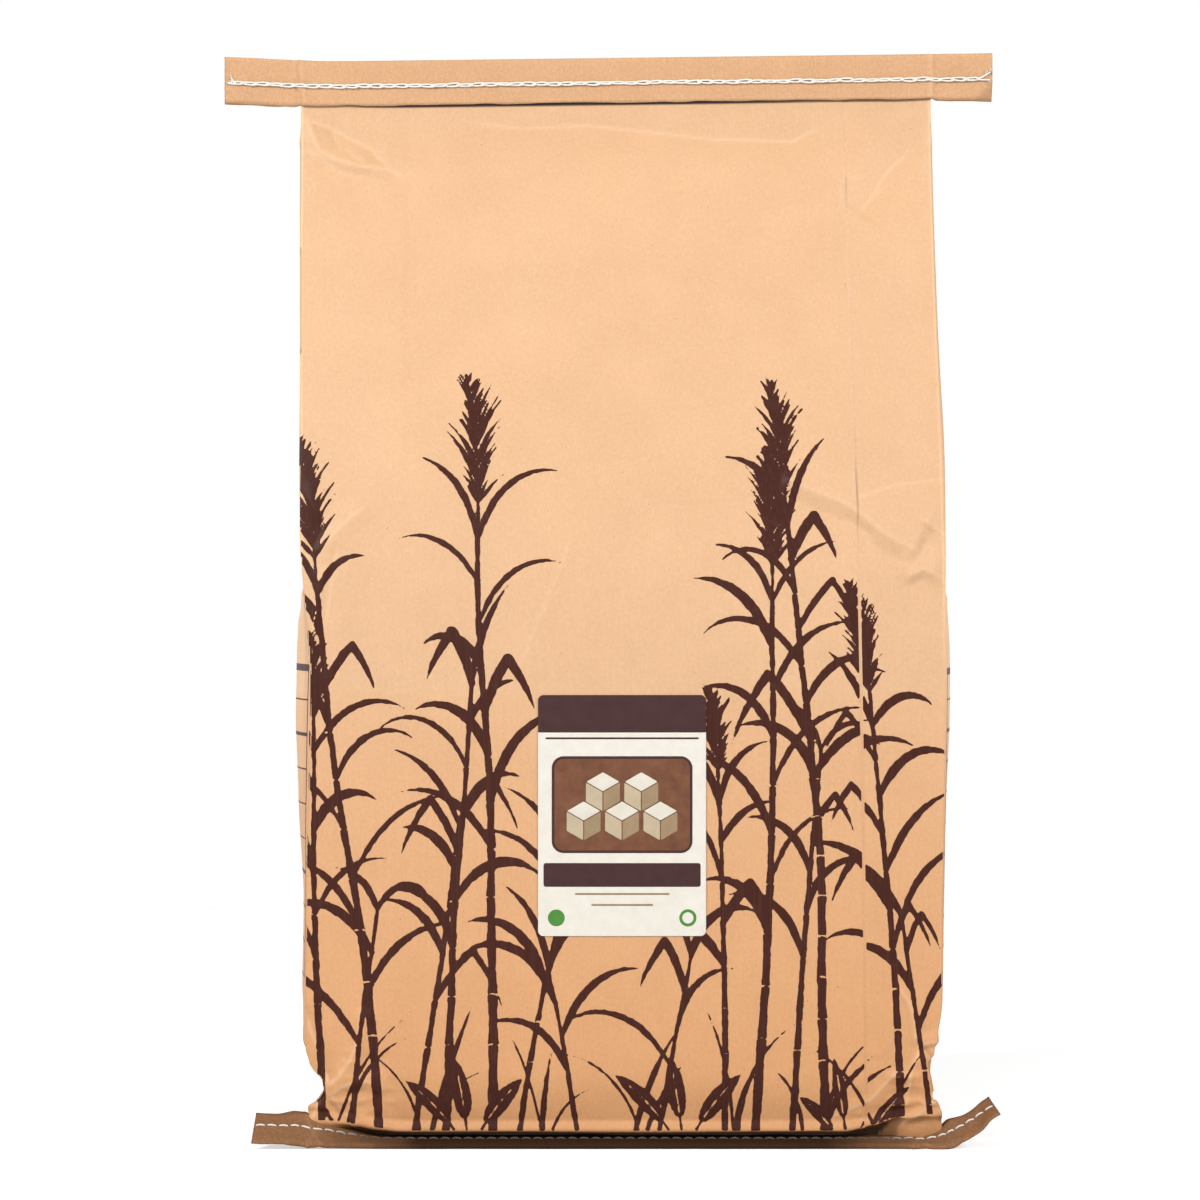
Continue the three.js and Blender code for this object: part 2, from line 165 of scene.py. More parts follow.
def profile(knots, at):
    """Cubic through the knots that doesn't overshoot."""
    xs = np.array([k[0] for k in knots], float)
    ys = np.array([k[1] for k in knots], float)
    slopes = np.diff(ys) / np.diff(xs)
    tangents = np.concatenate([slopes[:1], np.zeros(len(xs) - 2), slopes[-1:]])
    for i in range(1, len(xs) - 1):
        before, after = slopes[i - 1], slopes[i]
        if before * after > 0:
            tangents[i] = 2 * before * after / (before + after)
    at = np.clip(np.asarray(at, float), xs[0], xs[-1])
    i = np.clip(np.searchsorted(xs, at, side="left") - 1, 0, len(xs) - 2)
    run = xs[i + 1] - xs[i]
    t = (at - xs[i]) / run
    h1 = t * t * (3 - 2 * t)
    h2 = t * (1 - t) ** 2
    h3 = t * t * (t - 1)
    return ys[i] * (1 - h1) + ys[i + 1] * h1 + run * (h2 * tangents[i] + h3 * tangents[i + 1])


def mouth_lift(x):
    left = np.clip((-x - LIFT_LEFT_FROM) / LIFT_LEFT_RUN, 0, 1)
    right = np.clip((x - LIFT_RIGHT_FROM) / LIFT_RIGHT_RUN, 0, 1)
    return LIFT_LEFT * left + LIFT_RIGHT * right


def centre_x(z):
    return MOUTH_SHIFT * smooth(SHIFT_FROM, TAPE_BOTTOM, z)


def crease_z(x):
    corner = smooth(CREASE_CORNER_FROM, CREASE_CORNER_FROM + CREASE_CORNER_RUN, np.abs(x))
    return CREASE_HEIGHT + np.where(np.asarray(x) < 0, CREASE_LEFT_RISE, CREASE_RIGHT_RISE) * corner


def pillow(u):
    return 1 - np.abs(2 * u - 1) ** PILLOW_POWER


def glue_seam_x(z):
    return GLUE_SEAM_BOTTOM + (GLUE_SEAM_TOP - GLUE_SEAM_BOTTOM) * np.clip(z / TAPE_BOTTOM, 0, 1) ** 1.3


# Smooth seeded noise
NOISE_SIZE = 64


class Noise:
    def __init__(self, seed):
        self.table = np.random.RandomState(seed).uniform(-1, 1, (NOISE_SIZE, NOISE_SIZE))

    def at(self, u, v):
        u, v = (np.asarray(w, float) + 100 * NOISE_SIZE for w in (u, v))
        i, j = np.floor(u).astype(int), np.floor(v).astype(int)
        fu, fv = (f * f * f * (f * (f * 6 - 15) + 10) for f in (u - i, v - j))
        a, b, c, d = (self.table[(i + m) % NOISE_SIZE, (j + n) % NOISE_SIZE] for n in (0, 1) for m in (0, 1))
        return (a * (1 - fu) + b * fu) * (1 - fv) + (c * (1 - fu) + d * fu) * fv


def to_segment(x, z, a, b):
    """Distance to a line from a to b, and how far along it the nearest place is, from 0 to 1."""
    (ax, az), (bx, bz) = a, b
    dx, dz = bx - ax, bz - az
    t = np.clip(((x - ax) * dx + (z - az) * dz) / max(dx * dx + dz * dz, 1e-6), 0, 1)
    return np.hypot(x - ax - t * dx, z - az - t * dz), t


def to_polyline(x, z, points):
    """Distance to a polyline, the side of it, and how far the nearest place is from its nearer end."""
    best = np.full(np.shape(x), 1e9)
    side = np.ones(np.shape(x))
    along = np.zeros(np.shape(x))
    walked = 0.0
    for a, b in zip(points, points[1:]):
        d, t = to_segment(x, z, a, b)
        near = d < best
        best = np.where(near, d, best)
        side = np.where(near, np.sign((b[0] - a[0]) * (z - a[1]) - (b[1] - a[1]) * (x - a[0])), side)
        along = np.where(near, walked + t * math.dist(a, b), along)
        walked += math.dist(a, b)
    return best, side, np.minimum(along, walked - along)


FOLD_ROUND = 0.45
FOLD_FADE = 8.0


def crease(x, z, points, lift, left, right):
    """A paper fold: a ridge or, with lift below zero, a valley, with a flat slope down either side."""
    d, side, from_end = to_polyline(x, z, points)
    reach = np.where(side > 0, left, right)
    fade = smooth(0, FOLD_FADE, from_end)
    tent = np.clip(1 - np.sqrt(d * d + FOLD_ROUND ** 2) / reach, 0, 1)
    return lift * fade * tent, fade * np.exp(-(d / 0.9) ** 2)


# Folds in the front panel as (points, lift, slope's length on the left of the way, on the right)
FRONT_CREASES = [
    ([(-186, 573), (-175, 570), (-163, 566), (-155, 561), (-148, 557.5), (-141, 554), (-138, 549),
      (-130, 542), (-120, 535)], -1.5, 6, 8),
    ([(-188, 574), (-178, 569), (-174, 560), (-171, 552.5), (-162, 547.5), (-150, 544), (-139, 543),
      (-128, 542)], 2.0, 10, 6),
    ([(-188, 553), (-177, 553), (-170, 549.5), (-162, 542), (-150, 538.5), (-137, 539)], -0.8, 6, 12),
    ([(-160, 557), (-151, 549), (-142, 544)], -0.9, 3, 3.2),
    ([(-166, 570), (-161, 558), (-157, 547)], -0.6, 2.4, 3.5),
    ([(112, 568), (96, 559), (52, 560), (0, 566), (-40, 570)], -1.3, 14, 7),
    ([(-22, 568), (-58, 566), (-90, 571)], -0.8, 10, 7),
    ([(130, 514), (138, 524.5), (142, 530.5), (146, 537), (152, 545), (160, 551.5), (171, 558), (184, 566)],
     -3.4, 17, 24),
    ([(134, 519), (141, 528), (149, 534)], 0.9, 2.4, 1.6),
    ([(120, 544), (128, 537), (137, 535)], 0.5, 2.4, 1.6),
    ([(86, 369), (95, 364), (108, 358.5), (120, 354), (128, 349), (133, 345), (143, 337), (153, 331),
      (165, 325)], 3.4, 30, 8.5),
    ([(118, 347), (128, 341), (140, 332)], -0.8, 5, 3),
    ([(126, 355), (150, 363.5), (186, 368)], -0.8, 22, 12),
    ([(160, 346), (166, 343), (172, 339), (188, 331)], 1.5, 8, 2.6),
    ([(152, 309), (158, 314), (165, 317), (172, 314), (179, 308), (188, 300)], 2.6, 14, 5.0),
    ([(-190, 372), (-177, 360), (-171, 352), (-161, 340)], 1.4, 9, 7),
    ([(-160, 352), (-167, 338), (-176, 320)], -1.1, 8, 6),
    ([(-140, 354), (-158, 338), (-174, 322)], 1.0, 8, 9),
    ([(-164, 320), (-168, 298), (-171, 280), (-172, 258)], 1.3, 2.4, 8),
    ([(-164, 284), (-161, 310), (-157, 334)], -0.8, 3.0, 9),
    ([(-60, 256), (-42, 300), (-28, 336)], 0.6, 10, 22),
    ([(56, 306), (84, 268), (94, 234)], 0.6, 10, 22),
    ([(-166, 30), (-157, 38), (-150, 47), (-145, 60), (-143, 78)], 1.9, 5, 7),
    ([(-164, 26), (-152, 34), (-141, 36), (-128, 30)], 1.5, 10, 5),
    ([(-146, 9), (-155, 20), (-167, 34)], 1.5, 2.2, 9),
    ([(-161, 31), (-168, 52), (-177, 78)], -1.3, 2.4, 7),
    ([(-174, 10), (-166, 24), (-162, 32)], 0.9, 2.0, 6),
    ([(149, 90), (157, 79), (161, 66), (160, 52)], 1.4, 9, 4),
    ([(158, 61), (169, 48), (173, 38), (170, 22)], -1.9, 2.0, 6),
    ([(156, 22), (158, 42), (166, 58)], 1.3, 2.2, 9),
    ([(158, 52), (166, 56), (180, 58)], 1.8, 7, 3),
    ([(146, 8), (160, 15), (175, 27)], 1.7, 4.0, 4),
    ([(158, 13), (165, 18), (174, 22)], -1.0, 3, 3),
    ([(112, 14), (136, 26), (154, 45)], 0.8, 3.4, 13),
]
BACK_CREASES = [
    ([(-186, 564), (-150, 548), (-114, 544)], 1.2, 4, 14),
    ([(188, 560), (150, 540), (128, 514)], 1.4, 6, 16),
    ([(-110, 385), (-130, 362), (-152, 340)], 1.0, 3, 20),
    ([(60, 400), (20, 388), (-30, 392)], 0.8, 6, 22),
    ([(170, 352), (150, 332), (138, 312)], 1.0, 3, 14),
    ([(-178, 330), (-160, 318), (-150, 300)], -0.8, 2.5, 10),
    ([(40, 569), (0, 563), (-50, 566)], -1.1, 8, 5),
    ([(-176, 62), (-160, 44), (-150, 20)], 1.2, 2.5, 9),
    ([(176, 66), (158, 48), (150, 24)], 1.2, 2.5, 9),
]


def creased(x, z, creases):
    lift = np.zeros(np.shape(x))
    fold = np.zeros(np.shape(x))
    for points, height, left, right in creases:
        h, f = crease(x, z, points, height, left, right)
        lift += h
        fold = np.maximum(fold, f * min(1.0, abs(height)))
    return lift, fold


def panel_relief(x, z, broad, fine, crumple, creases):
    """Outward relief of a front or back panel in millimetres, and how hard it is folded."""
    loose = smooth(290, 400, z) * (1 - smooth(520, 578, z))
    lift = (0.4 + 1.6 * loose) * broad.at(x / 95, z / 120)
    lift += (0.2 + 0.45 * loose) * fine.at(x / 34, z / 60 + 7)
    hollow = smooth(535, 578, z)
    lift -= hollow * (0.5 + 0.5 * fine.at(x / 38, 3.3))
    pleat_edge = HALF_WIDTH - GUSSET_DEPTH / 2
    ghost = smooth(pleat_edge - 2, pleat_edge + 2, np.abs(x - centre_x(z)))
    lift += 0.5 * ghost * smooth(330, 400, z) * (1 - smooth(560, 578, z))
    low = (1 - smooth(20, 75, z)) * smooth(105, 150, np.abs(x))
    lift += low * (1.0 - 2.6 * np.abs(crumple.at(x / 17, z / 15)))
    lift += low * (0.4 - 0.9 * np.abs(crumple.at(x / 8 + 5, z / 7)))
    lift += (1 - smooth(10, 60, z)) * 0.7 * crumple.at(x / 60 + 9, z / 30)
    folds, hard = creased(x, z, creases)
    from_side = HALF_WIDTH - np.abs(x - centre_x(z))
    folds *= 1 - (1 - smooth(0, 8, from_side)) * smooth(90, 120, z)
    flat = smooth(TAPE_BOTTOM + 1, TAPE_BOTTOM - 12, z)
    return (lift + folds) * flat, hard * flat


# How finely the paper skin is divided
FRONT_COLUMNS = 222
BACK_COLUMNS = 54
GUSSET_COLUMNS = 24
SEAM_COLUMN = 178
SIDE_CROWDING = 0.45
SEAM_HALF_STEP = 0.35
BASE_STEPS = 5
# Heights of its rows as (from, to, step), and of the two that are tucked into the tape
ROW_SPANS = [
    (14.0, 90.0, 1.15), (90.0, 296.0, 3.1), (296.0, 376.0, 1.4), (376.0, 520.0, 3.0),
    (520.0, TAPE_BOTTOM - 4, 1.3), (TAPE_BOTTOM - 4, TAPE_BOTTOM, 0.5),
]
TUCKED_ROWS = [TAPE_BOTTOM + 1, TAPE_BOTTOM + 8]
# Where the gussets buckle as they open, and where the glued seam gapes: (height, half length, strength)
GUSSET_SNAP = 315
SEAM_GAPES = [(359, 17, 1.0), (532, 6, 0.45)]


def pleat_in(knots, height, depth):
    """How far a gusset's middle is pulled in at a height. Below zero it swells."""
    half = GUSSET_DEPTH / 2
    if height < PLEAT_FORMULA_FROM:
        return float(profile(knots, height))
    return math.sqrt(max(0.0, half * half - depth * depth / 4)) * float(smooth(3, 22, depth))


def spread(value, x):
    """A value that is given for a whole panel, or as a function of x."""
    return value(x) if callable(value) else np.full(np.shape(x), float(value))


def station(height):
    """The sack's section at a height: each panel's height, depth and bulge, and each fold's place."""
    tables = (EDGE_DEPTH, BULGE, INSET_LEFT, INSET_RIGHT, INSET_BACK)
    depth, bulge, inset_left, inset_right, inset_back = (float(profile(knots, height)) for knots in tables)

    def squeezed(x):
        squeeze = (LOWER_ZONE - crease_z(x)) / (LOWER_ZONE - CREASE_HEIGHT)
        return LOWER_ZONE - (LOWER_ZONE - height) * squeeze

    return dict(front_z=squeezed if height < LOWER_ZONE else height, front_depth=depth / 2,
                front_bulge=bulge, back_z=height, back_depth=depth / 2, back_bulge=bulge,
                inset_left=inset_left, inset_right=inset_right, inset_back=inset_back,
                pleat_left=pleat_in(PLEAT_LEFT, height, depth),
                pleat_right=pleat_in(PLEAT_RIGHT, height, depth))


def at_corner(x):
    """One at the front's two lower corners, where the paper runs straight down into the seam."""
    return smooth(138, 158, x) + smooth(140, 162, -x)


def base_stations():
    crease_ring = station(CREASE_HEIGHT)
    crease_ring.update(front_z=crease_z, front_depth=57.0, front_bulge=4.0, back_z=6.0, back_depth=55.0)
    under = station(3.0)
    under.update(front_z=lambda x: crease_z(x) + 0.4 - 4.0 * at_corner(x),
                 front_depth=lambda x: 48.0 + 7.2 * at_corner(x), front_bulge=1.0,
                 back_z=1.6, back_depth=50.0, pleat_left=12.0, pleat_right=12.0)
    flat = station(0.0)
    flat.update(front_z=0.0, front_depth=lambda x: 44.0 + 9.5 * at_corner(x), front_bulge=1.0,
                inset_left=5.0, inset_right=3.0, back_depth=42.0, pleat_left=12.0, pleat_right=12.0)
    return [flat, under, crease_ring]


def front_fractions(height, left_x, right_x):
    """Column places across the front: closer at the side folds, and a narrow step at the glued seam."""
    k = np.arange(FRONT_COLUMNS + 1, dtype=float)
    at = (glue_seam_x(height) - left_x) / (right_x - left_x)
    gap = SEAM_HALF_STEP / (right_x - left_x)
    t = k / SEAM_COLUMN
    left = (1 - SIDE_CROWDING) * t + SIDE_CROWDING * t * t * (3 - 2 * t)
    right = (k - SEAM_COLUMN - 1) / (FRONT_COLUMNS - SEAM_COLUMN - 1)
    return np.where(k <= SEAM_COLUMN, left * (at - gap), at + gap + right * (1 - at - gap))


def ring(s):
    """The skin's points at a station: the front, the right gusset, the back and the left gusset."""
    cx = float(centre_x(s["back_z"]))

    def panel(from_x, to_x, u, side, outward):
        x = from_x + (to_x - from_x) * u
        z = spread(s[side + "_z"], x)
        z = z + mouth_lift(x) * smooth(LIFT_START, TAPE_BOTTOM, z)
        y = outward * (spread(s[side + "_depth"], x) + s[side + "_bulge"] * pillow(u))
        return np.stack([x, y, z], axis=1)

    def gusset(a, b, inward, pleat):
        v = (np.arange(1, GUSSET_COLUMNS) / GUSSET_COLUMNS)[:, None]
        p = a * (1 - v) + b * v
        if pleat > 0:
            fold = 1 - np.sqrt((2 * v[:, 0] - 1) ** 2 + 0.0012)
        else:
            fold = 1 - (2 * v[:, 0] - 1) ** 2
        p[:, 0] += inward * pleat * fold
        return p

    left_x, right_x = cx - HALF_WIDTH + s["inset_left"], cx + HALF_WIDTH - s["inset_right"]
    u = front_fractions(s["back_z"], left_x, right_x)
    front = panel(left_x, right_x, u, "front", -1)
    back_left, back_right = cx - HALF_WIDTH + s["inset_back"], cx + HALF_WIDTH - s["inset_back"]
    back_u = np.arange(BACK_COLUMNS + 1) / BACK_COLUMNS
    back = panel(back_right, back_left, back_u, "back", 1)
    right_side = gusset(front[-1], back[0], -1, s["pleat_right"])
    left_side = gusset(back[-1], front[0], 1, s["pleat_left"])
    return np.concatenate([front, right_side, back, left_side])


def skin_rows():
    heights = np.concatenate([np.arange(*span) for span in ROW_SPANS] + [TUCKED_ROWS])
    rings = [ring(station(h)) for h in heights]
    keys = [ring(s) for s in base_stations()] + rings[:2]
    rows = []
    for k in range(3):
        before, a, b = keys[max(0, k - 1)], keys[k], keys[k + 1]
        after = keys[k + 2] if k < 2 else keys[3] + (keys[4] - keys[3]) * 3
        for t in np.arange(BASE_STEPS) / BASE_STEPS:
            h = t * t * (3 - 2 * t)
            tangents = t * (1 - t) ** 2 * (b - before) + t * t * (t - 1) * (after - a)
            rows.append(a * (1 - h) + b * h + 0.4 * tangents)
    return np.array(rows + rings)


def unit(v):
    return v / np.maximum(np.linalg.norm(v, axis=-1, keepdims=True), 1e-9)


def grid_normals(rows):
    along = np.roll(rows, -1, axis=1) - np.roll(rows, 1, axis=1)
    return unit(np.cross(along, np.gradient(rows, axis=0)))


def skin_relief(rows):
    """Outward move of every skin point, and its fold strength."""
    x, y, z = rows[..., 0], rows[..., 1], rows[..., 2]
    columns = rows.shape[1]
    front_end = FRONT_COLUMNS + 1
    back_start = front_end + GUSSET_COLUMNS - 1
    back_end = back_start + BACK_COLUMNS + 1
    lift, hard = np.zeros(x.shape), np.zeros(x.shape)
    for span, seeds, creases in ((slice(0, front_end), (3, 11, 23), FRONT_CREASES),
                                 (slice(back_start, back_end), (5, 17, 29), BACK_CREASES)):
        noises = [Noise(seed) for seed in seeds]
        lift[:, span], hard[:, span] = panel_relief(x[:, span], z[:, span], *noises, creases)
    k = np.arange(columns)
    over = (k > SEAM_COLUMN) & (k < front_end)
    edge = np.clip((front_end - 1 - k) / 10, 0, 1)
    lift += np.where(over, -GLUE_STEP * edge, 0)[None, :]
    soft, crumple = Noise(41), Noise(43)
    for start, stop, seed in ((front_end, back_start, 2.0), (back_end, columns, 31.0)):
        g = slice(start, stop)
        inside = np.sin(np.pi * (np.arange(start, stop) - start + 1) / GUSSET_COLUMNS)[None, :]
        gy, gz = y[:, g], z[:, g]
        wave = 0.9 * soft.at(gy / 50 + seed, gz / 70) + 0.4 * soft.at(gy / 18 + seed, gz / 30 + 5)
        snap = np.exp(-((gz - GUSSET_SNAP) / 22) ** 2)
        wave += snap * 1.5 * (1 - 2 * np.abs(soft.at(gy / 22 + seed, gz / 14)))
        low = 1 - smooth(25, 85, gz)
        wave += low * 2.2 * (1 - 2 * np.abs(crumple.at(gy / 21 + seed, gz / 18)))
        lift[:, g] = wave * inside * smooth(0, 6, gz) * smooth(TAPE_BOTTOM - 4, TAPE_BOTTOM - 70, gz)
        hard[:, g] = np.clip(np.abs(wave) - 1.0, 0, 1) * inside * 0.5
    return lift * smooth(-1, 9, z), hard


def new_piece(name, verts, faces, material, slot, flat_faces=slice(0), marks=None):
    """A mesh piece, in millimetres, that rides on the body. Marks are values at its points."""
    mesh = bpy.data.meshes.new(name)
    mesh.from_pydata((np.asarray(verts) * MM).tolist(), [], faces)
    shades = np.ones(len(faces), bool)
    shades[flat_faces] = False
    mesh.polygons.foreach_set("use_smooth", shades)
    mesh.materials.append(material)
    mesh.update()
    for mark, values in (marks or {}).items():
        mesh.attributes.new(mark, "FLOAT", "POINT").data.foreach_set("value", np.float32(values))
    piece = bpy.data.objects.new(name, mesh)
    bpy.context.scene.collection.objects.link(piece)
    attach(piece, "root")
    return piece


def grid_faces(row_count, column_count):
    """The quads between rows of points that go all the way round."""
    faces = []
    for a in range(0, (row_count - 1) * column_count, column_count):
        for i in range(column_count):
            k = (i + 1) % column_count
            faces.append((a + i, a + k, a + column_count + k, a + column_count + i))
    return faces


# Procedural materials
def feed(socket, value):
    """Sets a socket to a number or a colour, or links another node's output to it."""
    if isinstance(value, bpy.types.NodeSocket):
        socket.id_data.links.new(value, socket)
    elif socket.type == "RGBA":
        socket.default_value = (*value, 1.0)
    else:
        socket.default_value = value


def add_node(tree, kind, output, inputs, **settings):
    """Adds a shader node with its inputs and settings, and gives one of its outputs."""
    node = tree.nodes.new("ShaderNode" + kind)
    for key, value in settings.items():
        setattr(node, key, value)
    for key, value in inputs.items():
        feed(node.inputs[key], value)
    return node.outputs[output]


class Nodes:
    """A material whose colour and relief are built up from nodes."""

    def __init__(self, name):
        self.material = bpy.data.materials.new(name)
        self.material.use_nodes = True
        self.tree = self.material.node_tree
        self.shader = self.tree.nodes["Principled BSDF"]
        self.place = add_node(self.tree, "TexCoord", "Object", {})

    def add(self, kind, output, inputs, **settings):
        return add_node(self.tree, kind, output, inputs, **settings)

    def mapped(self, scale):
        return self.add("Mapping", "Vector", {"Vector": self.place, "Scale": scale})

    def noise(self, scale, detail=3.0, roughness=0.55, vector=None):
        return self.add("TexNoise", "Fac", {"Vector": vector or self.place, "Scale": scale,
                                            "Detail": detail, "Roughness": roughness})

    def stretched(self, scale, detail, roughness):
        """Noise drawn out along one axis, as scale says for each."""
        return self.noise(1.0, detail, roughness, self.mapped(scale))

    def ramp(self, value, low, high, to_low=0.0, to_high=1.0):
        return self.add("MapRange", "Result", {"Value": value, "From Min": low, "From Max": high,
                                               "To Min": to_low, "To Max": to_high})

    def math(self, kind, a, b):
        return self.add("Math", "Value", {0: a, 1: b}, operation=kind)

    def part(self, value, share):
        return self.math("MULTIPLY", value, share)

    def mix(self, amount, a, b, blend="MIX"):
        return self.add("Mix", 2, {0: amount, 6: a, 7: b}, data_type="RGBA", blend_type=blend)

    def axis(self, name):
        return self.add("SeparateXYZ", name, {"Vector": self.place})

    def off_middle(self):
        return self.math("ABSOLUTE", self.axis("X"), 0)

    def attribute(self, name):
        return self.add("Attribute", "Fac", {}, attribute_name=name)

    def bump(self, height, strength, distance):
        inputs = {"Height": height, "Strength": strength, "Distance": distance}
        feed(self.shader.inputs["Normal"], self.add("Bump", "Normal", inputs))

    def finish(self, color, roughness, specular):
        for key, value in (("Base Color", color), ("Roughness", roughness), ("Specular IOR Level", specular)):
            feed(self.shader.inputs[key], value)
        return self.material


def linear(r, g, b):
    def channel(v):
        v /= 255.0
        return v / 12.92 if v <= 0.04045 else ((v + 0.055) / 1.055) ** 2.4
    return (channel(r), channel(g), channel(b))


KRAFT = linear(169, 134, 101)
KRAFT_DEEP = linear(159, 124, 91)
KRAFT_PALE = linear(178, 146, 114)
# Tint of the painted shade near the floor
LOW_PAINTED_SHADE = (0.958, 0.775, 0.585)
FLECK = linear(120, 84, 60)
TAPE_TOP = linear(161, 124, 92)
TAPE_TOP_DEEP = linear(149, 112, 80)
# The lower tape: the upper tape's crepe, painted darker for the shade it lies in near the floor
TAPE_LOW_PAINTED_SHADE = linear(111, 78, 53)
TAPE_LOW_PAINTED_SHADE_DEEP = linear(90, 62, 42)
TAPE_LOW_PAINTED_SHADE_PALE = linear(137, 102, 73)
# Dark brown of the painted shade on the paper and in the lower tape's middle
PAINTED_SHADE_BROWN = (0.015, 0.0052, 0.0022)
INK = (0.030, 0.0065, 0.0035)
INK_WORN = (0.055, 0.024, 0.017)
COTTON = linear(190, 186, 180)
COTTON_DEEP = linear(140, 131, 120)
# Colour of the painted shade on the lower threads' middle
COTTON_PAINTED_SHADE = linear(46, 34, 26)
# The label's inks as (colour, colour of its clouds, roughness)
LABEL_INKS = {
    "cream": (linear(177, 173, 165), linear(171, 166, 156), 0.34),
    "band": ((0.030, 0.011, 0.0115), (0.036, 0.015, 0.015), 0.34),
    "panel": (linear(96, 62, 43), linear(78, 48, 33), 0.36),
    "sugar_light": (linear(172, 167, 157), linear(165, 159, 146), 0.4),
    "sugar_mid": (linear(150, 137, 114), linear(141, 127, 105), 0.4),
    "sugar_shade": (linear(124, 105, 81), linear(114, 96, 72), 0.4),
    "green": (linear(61, 109, 46), linear(53, 98, 40), 0.36),
}


def paper_grain(n, base, deep, pale, line_amount):
    """Mottled paper with fine lengthwise lines, fibres and a few dark flecks."""
    color = n.mix(n.ramp(n.noise(30, 4), 0.34, 0.68, 0.45, 1.0), deep, base)
    mottle = n.ramp(n.noise(620, 4, 0.75), 0.38, 0.62)
    color = n.mix(n.part(mottle, 0.42), color, pale)
    fibre = n.ramp(n.stretched((1100, 1100, 420), 4, 0.7), 0.42, 0.66)
    color = n.mix(n.part(fibre, 0.50), color, deep)
    lines = n.ramp(n.stretched((1400, 1400, 20), 2, 0.5), 0.42, 0.62)
    color = n.mix(n.part(lines, line_amount), color, deep)
    fleck = n.ramp(n.noise(520, 2, 0.5), 0.74, 0.775)
    return n.mix(n.part(fleck, 0.6), color, FLECK), fibre


# Painted shade: the paper's colour darkens and warms towards the floor, from a height in metres down,
# standing for the light that falls off low down
PAINTED_SHADE_TOP = 0.25
PAINTED_SHADE_CURVE = 0.55
# Lightening for the painted light on the side folds
EDGE_PAINTED_LIGHT = (1.28, 1.28, 1.28)


def kraft_material():
    n = Nodes("kraft_paper")
    color, fibre = paper_grain(n, KRAFT, KRAFT_DEEP, KRAFT_PALE, 0.22)
    # Painted shade towards the floor
    low = n.math("POWER", n.ramp(n.axis("Z"), PAINTED_SHADE_TOP, 0.0), PAINTED_SHADE_CURVE)
    color = n.mix(low, color, n.mix(1.0, color, LOW_PAINTED_SHADE, "MULTIPLY"))
    # Paler along folds: partly rubbed wear, partly a painted highlight where folds catch the light
    color = n.mix(n.part(n.attribute("fold"), 0.55), color, KRAFT_PALE)
    # The glued seam's faint dark line, with painted shade where it gapes
    color = n.mix(n.attribute("seam"), color, FLECK)
    # Painted shade under the upper tape and under the tuck at the foot
    color = n.mix(n.attribute("shade"), color, PAINTED_SHADE_BROWN)
    # Painted light on the side folds
    color = n.mix(n.attribute("edge"), color, n.mix(1.0, color, EDGE_PAINTED_LIGHT, "MULTIPLY"))
    n.bump(n.math("ADD", n.noise(420, 5, 0.6), n.part(fibre, 0.5)), 0.14, 0.0004)
    return n.finish(color, n.ramp(n.noise(60, 3), 0.3, 0.7, 0.50, 0.60), 0.3)


def tape_material(name, base, deep, pale, specular, shade=None):
    """Crepe paper, and in the middle of the lower tape a painted shade for the shadow that it lies in."""
    n = Nodes(name)
    color, fibre = paper_grain(n, base, deep, pale, 0.10)
    crepe = n.stretched((1300, 900, 700), 4, 0.65)
    color = n.mix(n.part(n.ramp(crepe, 0.44, 0.68), 0.25), color, deep)
    # Paler along creases: a painted highlight on the upper tape, wear and painted highlight on the lower
    # tape's ears
    color = n.mix(n.part(n.attribute("fold"), 0.6), color, pale)
    # Painted shade in the lower tape's middle, under the sack
    if shade:
        ragged = n.math("ADD", n.off_middle(), n.part(n.noise(60, 3), 0.02))
        color = n.mix(n.ramp(ragged, 0.178, 0.120, 0.0, 0.95), color, shade)
    n.bump(n.math("ADD", crepe, n.part(fibre, 0.4)), 0.3, 0.0006)
    return n.finish(color, n.ramp(n.noise(80, 2), 0.3, 0.7, 0.66, 0.8), specular)


def ink_material():
    n = Nodes("print_ink")
    streak = n.ramp(n.stretched((1500, 1500, 25), 2, 0.5), 0.48, 0.70)
    worn = n.ramp(n.noise(160, 4), 0.56, 0.78)
    color = n.mix(n.part(streak, 0.30), INK, INK_WORN)
    color = n.mix(n.part(worn, 0.30), color, INK_WORN)
    n.bump(n.noise(420, 4, 0.6), 0.10, 0.0003)
    return n.finish(color, n.ramp(worn, 0, 1, 0.46, 0.60), 0.1)


def thread_material(name, dim=None):
    n = Nodes(name)
    ply = n.stretched((1400, 2600, 2600), 2, 0.5)
    color = n.mix(n.ramp(ply, 0.35, 0.7, 0.0, 0.4), COTTON, COTTON_DEEP)
    if dim:
        # Painted shade on the middle of the lower threads, under the sack
        color = n.mix(n.ramp(n.off_middle(), 0.172, 0.142, 0.0, 0.95), color, dim)
    n.bump(ply, 0.5, 0.0002)
    feed(n.shader.inputs["Sheen Weight"], 0.2)
    return n.finish(color, 0.85, 0.2)


def flat_print(name, color, second, rough):
    """A printed colour on the label's coated paper."""
    n = Nodes(name)
    shade = n.mix(n.ramp(n.noise(130, 3), 0.3, 0.7), color, second)
    n.bump(n.noise(300, 2), 0.05, 0.0002)
    return n.finish(shade, n.ramp(n.noise(40, 2), 0.3, 0.7, rough, rough + 0.08), 0.12)


def seam_mark(rows):
    """How dark the glued seam's edge is: a faint darker line, and painted shade where the seam gapes."""
    mark = np.zeros(rows.shape[:2])
    z = rows[:, SEAM_COLUMN + 1, 2]
    gape = sum(strength * np.exp(-((z - at) / reach) ** 2) for at, reach, strength in SEAM_GAPES)
    faint = 0.07 + 0.07 * Noise(47).at(z / 17, 0.5)
    mark[:, SEAM_COLUMN + 1] = smooth(4, 14, z) * np.clip(faint + 0.75 * gape, 0, 1)
    return mark


